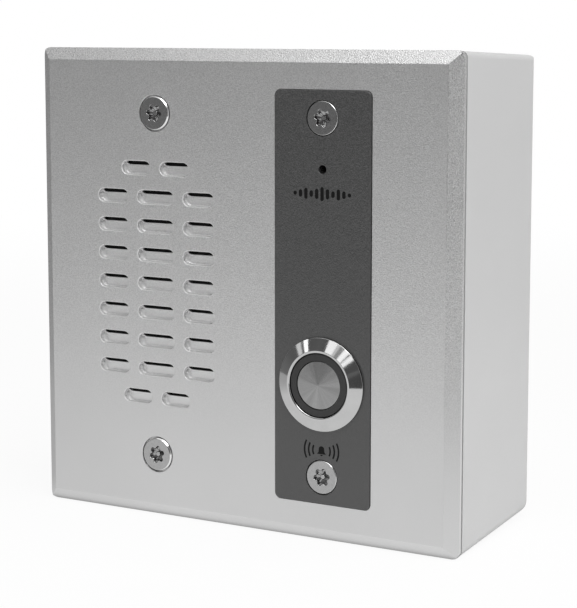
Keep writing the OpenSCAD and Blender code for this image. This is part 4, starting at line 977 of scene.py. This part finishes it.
# Back box
# A die-cast aluminium box, drafted towards the wall, its outside smooth and powder painted pale grey.
# It is screwed to the wall through four holes in its floor, and the cable comes in through a rubber grommet.
flat_angle, crisp_angle = math.radians(0.3), math.radians(28)
box_paint, wire = finish("pale_paint")
orange = grain_of(wire, 0.7, 1)
shade(wire, {
    "Base Color": between(wire, grain_of(wire, 25), grey(0.57), grey(0.61)),
    "Specular IOR Level": 1,
    "Roughness": 0.42 + 0.06 * orange,
    "Normal": relief(wire, orange, 0.006),
})
box_shell = bmesh.new()
box_shell.from_mesh(nodes["back_box"].data)
bmesh.ops.scale(box_shell, verts=box_shell.verts, vec=(1 / mm,) * 3)
bmesh.ops.remove_doubles(box_shell, verts=box_shell.verts, dist=merge_gap)
bmesh.ops.dissolve_limit(box_shell, angle_limit=flat_angle, verts=box_shell.verts, edges=box_shell.edges)
for face in box_shell.faces:
    face.smooth = face.calc_area() < large_face
for edge in box_shell.edges:
    edge.smooth = len(edge.link_faces) == 2 and edge.calc_face_angle() < crisp_angle
box_data = bpy.data.meshes.new("box_casting")
box_shell.to_mesh(box_data)
box_shell.free()
box_data.transform(Matrix.Scale(mm, 4))
box_data.materials.clear()
box_data.materials.append(box_paint)
back_box = new_object("box_casting", box_data)
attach(back_box, "housing")
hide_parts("back_box")


# Pieces inside and in the seam
# Rubber, plastics, plated steel, brass, paper, ferrite and the circuit board, each with its own tone, grain
# and sheen. These pieces keep their CAD shapes, apart from the spring and the spider, which follow below.
def worked(name, low, high, size, roughness, spread=0.15, metallic=0, depth=0.01):
    """A plain worked finish: two tones mixed by a grain that also varies sheen and relief."""
    material, wire = finish(name)
    grain = grain_of(wire, size, 3)
    shade(wire, {
        "Base Color": between(wire, grain, (*low, 1), (*high, 1)),
        "Metallic": metallic,
        "Roughness": roughness + spread * (grain - 0.5),
        "Normal": relief(wire, grain, depth),
    })
    return material


# The microphone capsule is a drawn can with black felt on its face; that near-black face is also painted
# shade for the microphone hole
felt_t = 0.2
capsule, wire = finish("capsule")
drawn = grain_of(wire, 0.5, 3)
depth = wire.node("ShaderNodeSeparateXYZ", None, {0: wire.node("ShaderNodeTexCoord", out="Object")}, 1)
felt_and_hole_shade = wire.maths("LESS_THAN", depth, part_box("microphone_capsule")[0].y + felt_t * mm)
shade(wire, {
    "Base Color": between(wire, felt_and_hole_shade, between(wire, drawn, grey(0.42), grey(0.55)), grey(0.002)),
    "Metallic": 1 - felt_and_hole_shade,
    "Roughness": 0.3 + 0.1 * drawn + 0.5 * felt_and_hole_shade,
    "Specular IOR Level": 0.1,
    "Normal": relief(wire, drawn, 0.01),
})

for material, members in (
        (worked("black_rubber", (0.012,) * 3, (0.03,) * 3, 0.5, 0.7), (
            "panel_gasket", "cable_grommet", "button_seal", "microphone_boot", "speaker_foam",
            "speaker_surround")),
        (worked("black_mesh", (0.001,) * 3, (0.004,) * 3, 0.2, 0.9), ("grille_mesh",)),
        (worked("white_plastic", (0.62, 0.61, 0.58), (0.72, 0.71, 0.68), 2, 0.45), (
            "button_plunger", "board_headers")),
        (worked("black_plastic", (0.015,) * 3, (0.03,) * 3, 1, 0.5), (
            "button_contact_block", "processor_chip", "audio_chips")),
        (worked("spring_steel", (0.45, 0.45, 0.46), (0.6, 0.6, 0.61), 0.6, 0.3, metallic=1), (
            "button_spring",)),
        (worked("brass", (0.62, 0.42, 0.18), (0.75, 0.54, 0.26), 0.8, 0.3, metallic=1), (
            "contact_bridge", "button_terminals", "speaker_voice_coil")),
        (worked("plated_steel", (0.5, 0.5, 0.49), (0.64, 0.64, 0.62), 0.9, 0.3, metallic=1), (
            "button_lock_washer", "button_nut", "speaker_clamps", "speaker_clamp_screws", "board_screws",
            "speaker_top_plate", "speaker_yoke", "network_jack")),
        (capsule, ("microphone_capsule",)),
        (worked("basket_paint", (0.02,) * 3, (0.035,) * 3, 0.6, 0.45), ("speaker_basket",)),
        (worked("cone_paper", (0.02, 0.02, 0.021), (0.05, 0.049, 0.048), 0.7, 0.85, depth=0.03), (
            "speaker_cone", "speaker_dust_cap")),
        (worked("spider_cloth", (0.42, 0.25, 0.08), (0.55, 0.35, 0.13), 0.4, 0.85, depth=0.03), (
            "speaker_spider",)),
        (worked("ferrite", (0.02,) * 3, (0.04,) * 3, 0.5, 0.55), ("speaker_magnet", "power_inductor")),
        (worked("phenolic", (0.16, 0.07, 0.03), (0.22, 0.1, 0.045), 1.5, 0.55), ("speaker_tag_strip",)),
        (worked("board", (0.01, 0.07, 0.03), (0.02, 0.11, 0.05), 3, 0.35), ("main_board", "terminal_block")),
        (worked("can_sleeve", (0.05, 0.05, 0.12), (0.08, 0.08, 0.17), 1.5, 0.35), ("filter_capacitors",))):
    for member in members:
        for held in nodes[member].material_slots:
            held.material = material

# Spring and spider
# The wound return spring gets a mesh of its own. The cloth spider is held by the basket at its edge and by
# the coil in its middle; it is cut in sectors about its middle.
return_spring = new_object("return_spring", nodes["button_spring"].data.copy())
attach(return_spring, "housing")
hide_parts("button_spring")
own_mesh(return_spring)

spider_sectors = 6
spider_coil_r, spider_free_r = 7.6, 14.2
spider_low, spider_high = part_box("speaker_spider")
spider_middle = (spider_low + spider_high) / 2
half_sector = math.pi / spider_sectors
for sector in range(spider_sectors):
    cut = bmesh.new()
    cut.from_mesh(nodes["speaker_spider"].data)
    bmesh.ops.remove_doubles(cut, verts=cut.verts, dist=merge_gap * mm)
    turn = 2 * half_sector * sector
    for side in (-1, 1):
        a = turn + side * half_sector
        bmesh.ops.bisect_plane(cut, geom=cut.verts[:] + cut.edges[:] + cut.faces[:], plane_co=spider_middle,
                               plane_no=(-side * math.sin(a), 0, side * math.cos(a)), clear_outer=True)
    cut_data = nodes["speaker_spider"].data.copy()
    cut.to_mesh(cut_data)
    cut.free()
    spider_part = new_object(f"spider_sector_{sector + 1}", cut_data)
    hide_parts("speaker_spider")
    out = Vector((math.cos(turn), 0, math.sin(turn))) * mm
    spider_middle + out * spider_coil_r
    spider_middle + out * spider_free_r * math.cos(half_sector)
    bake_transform(spider_part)
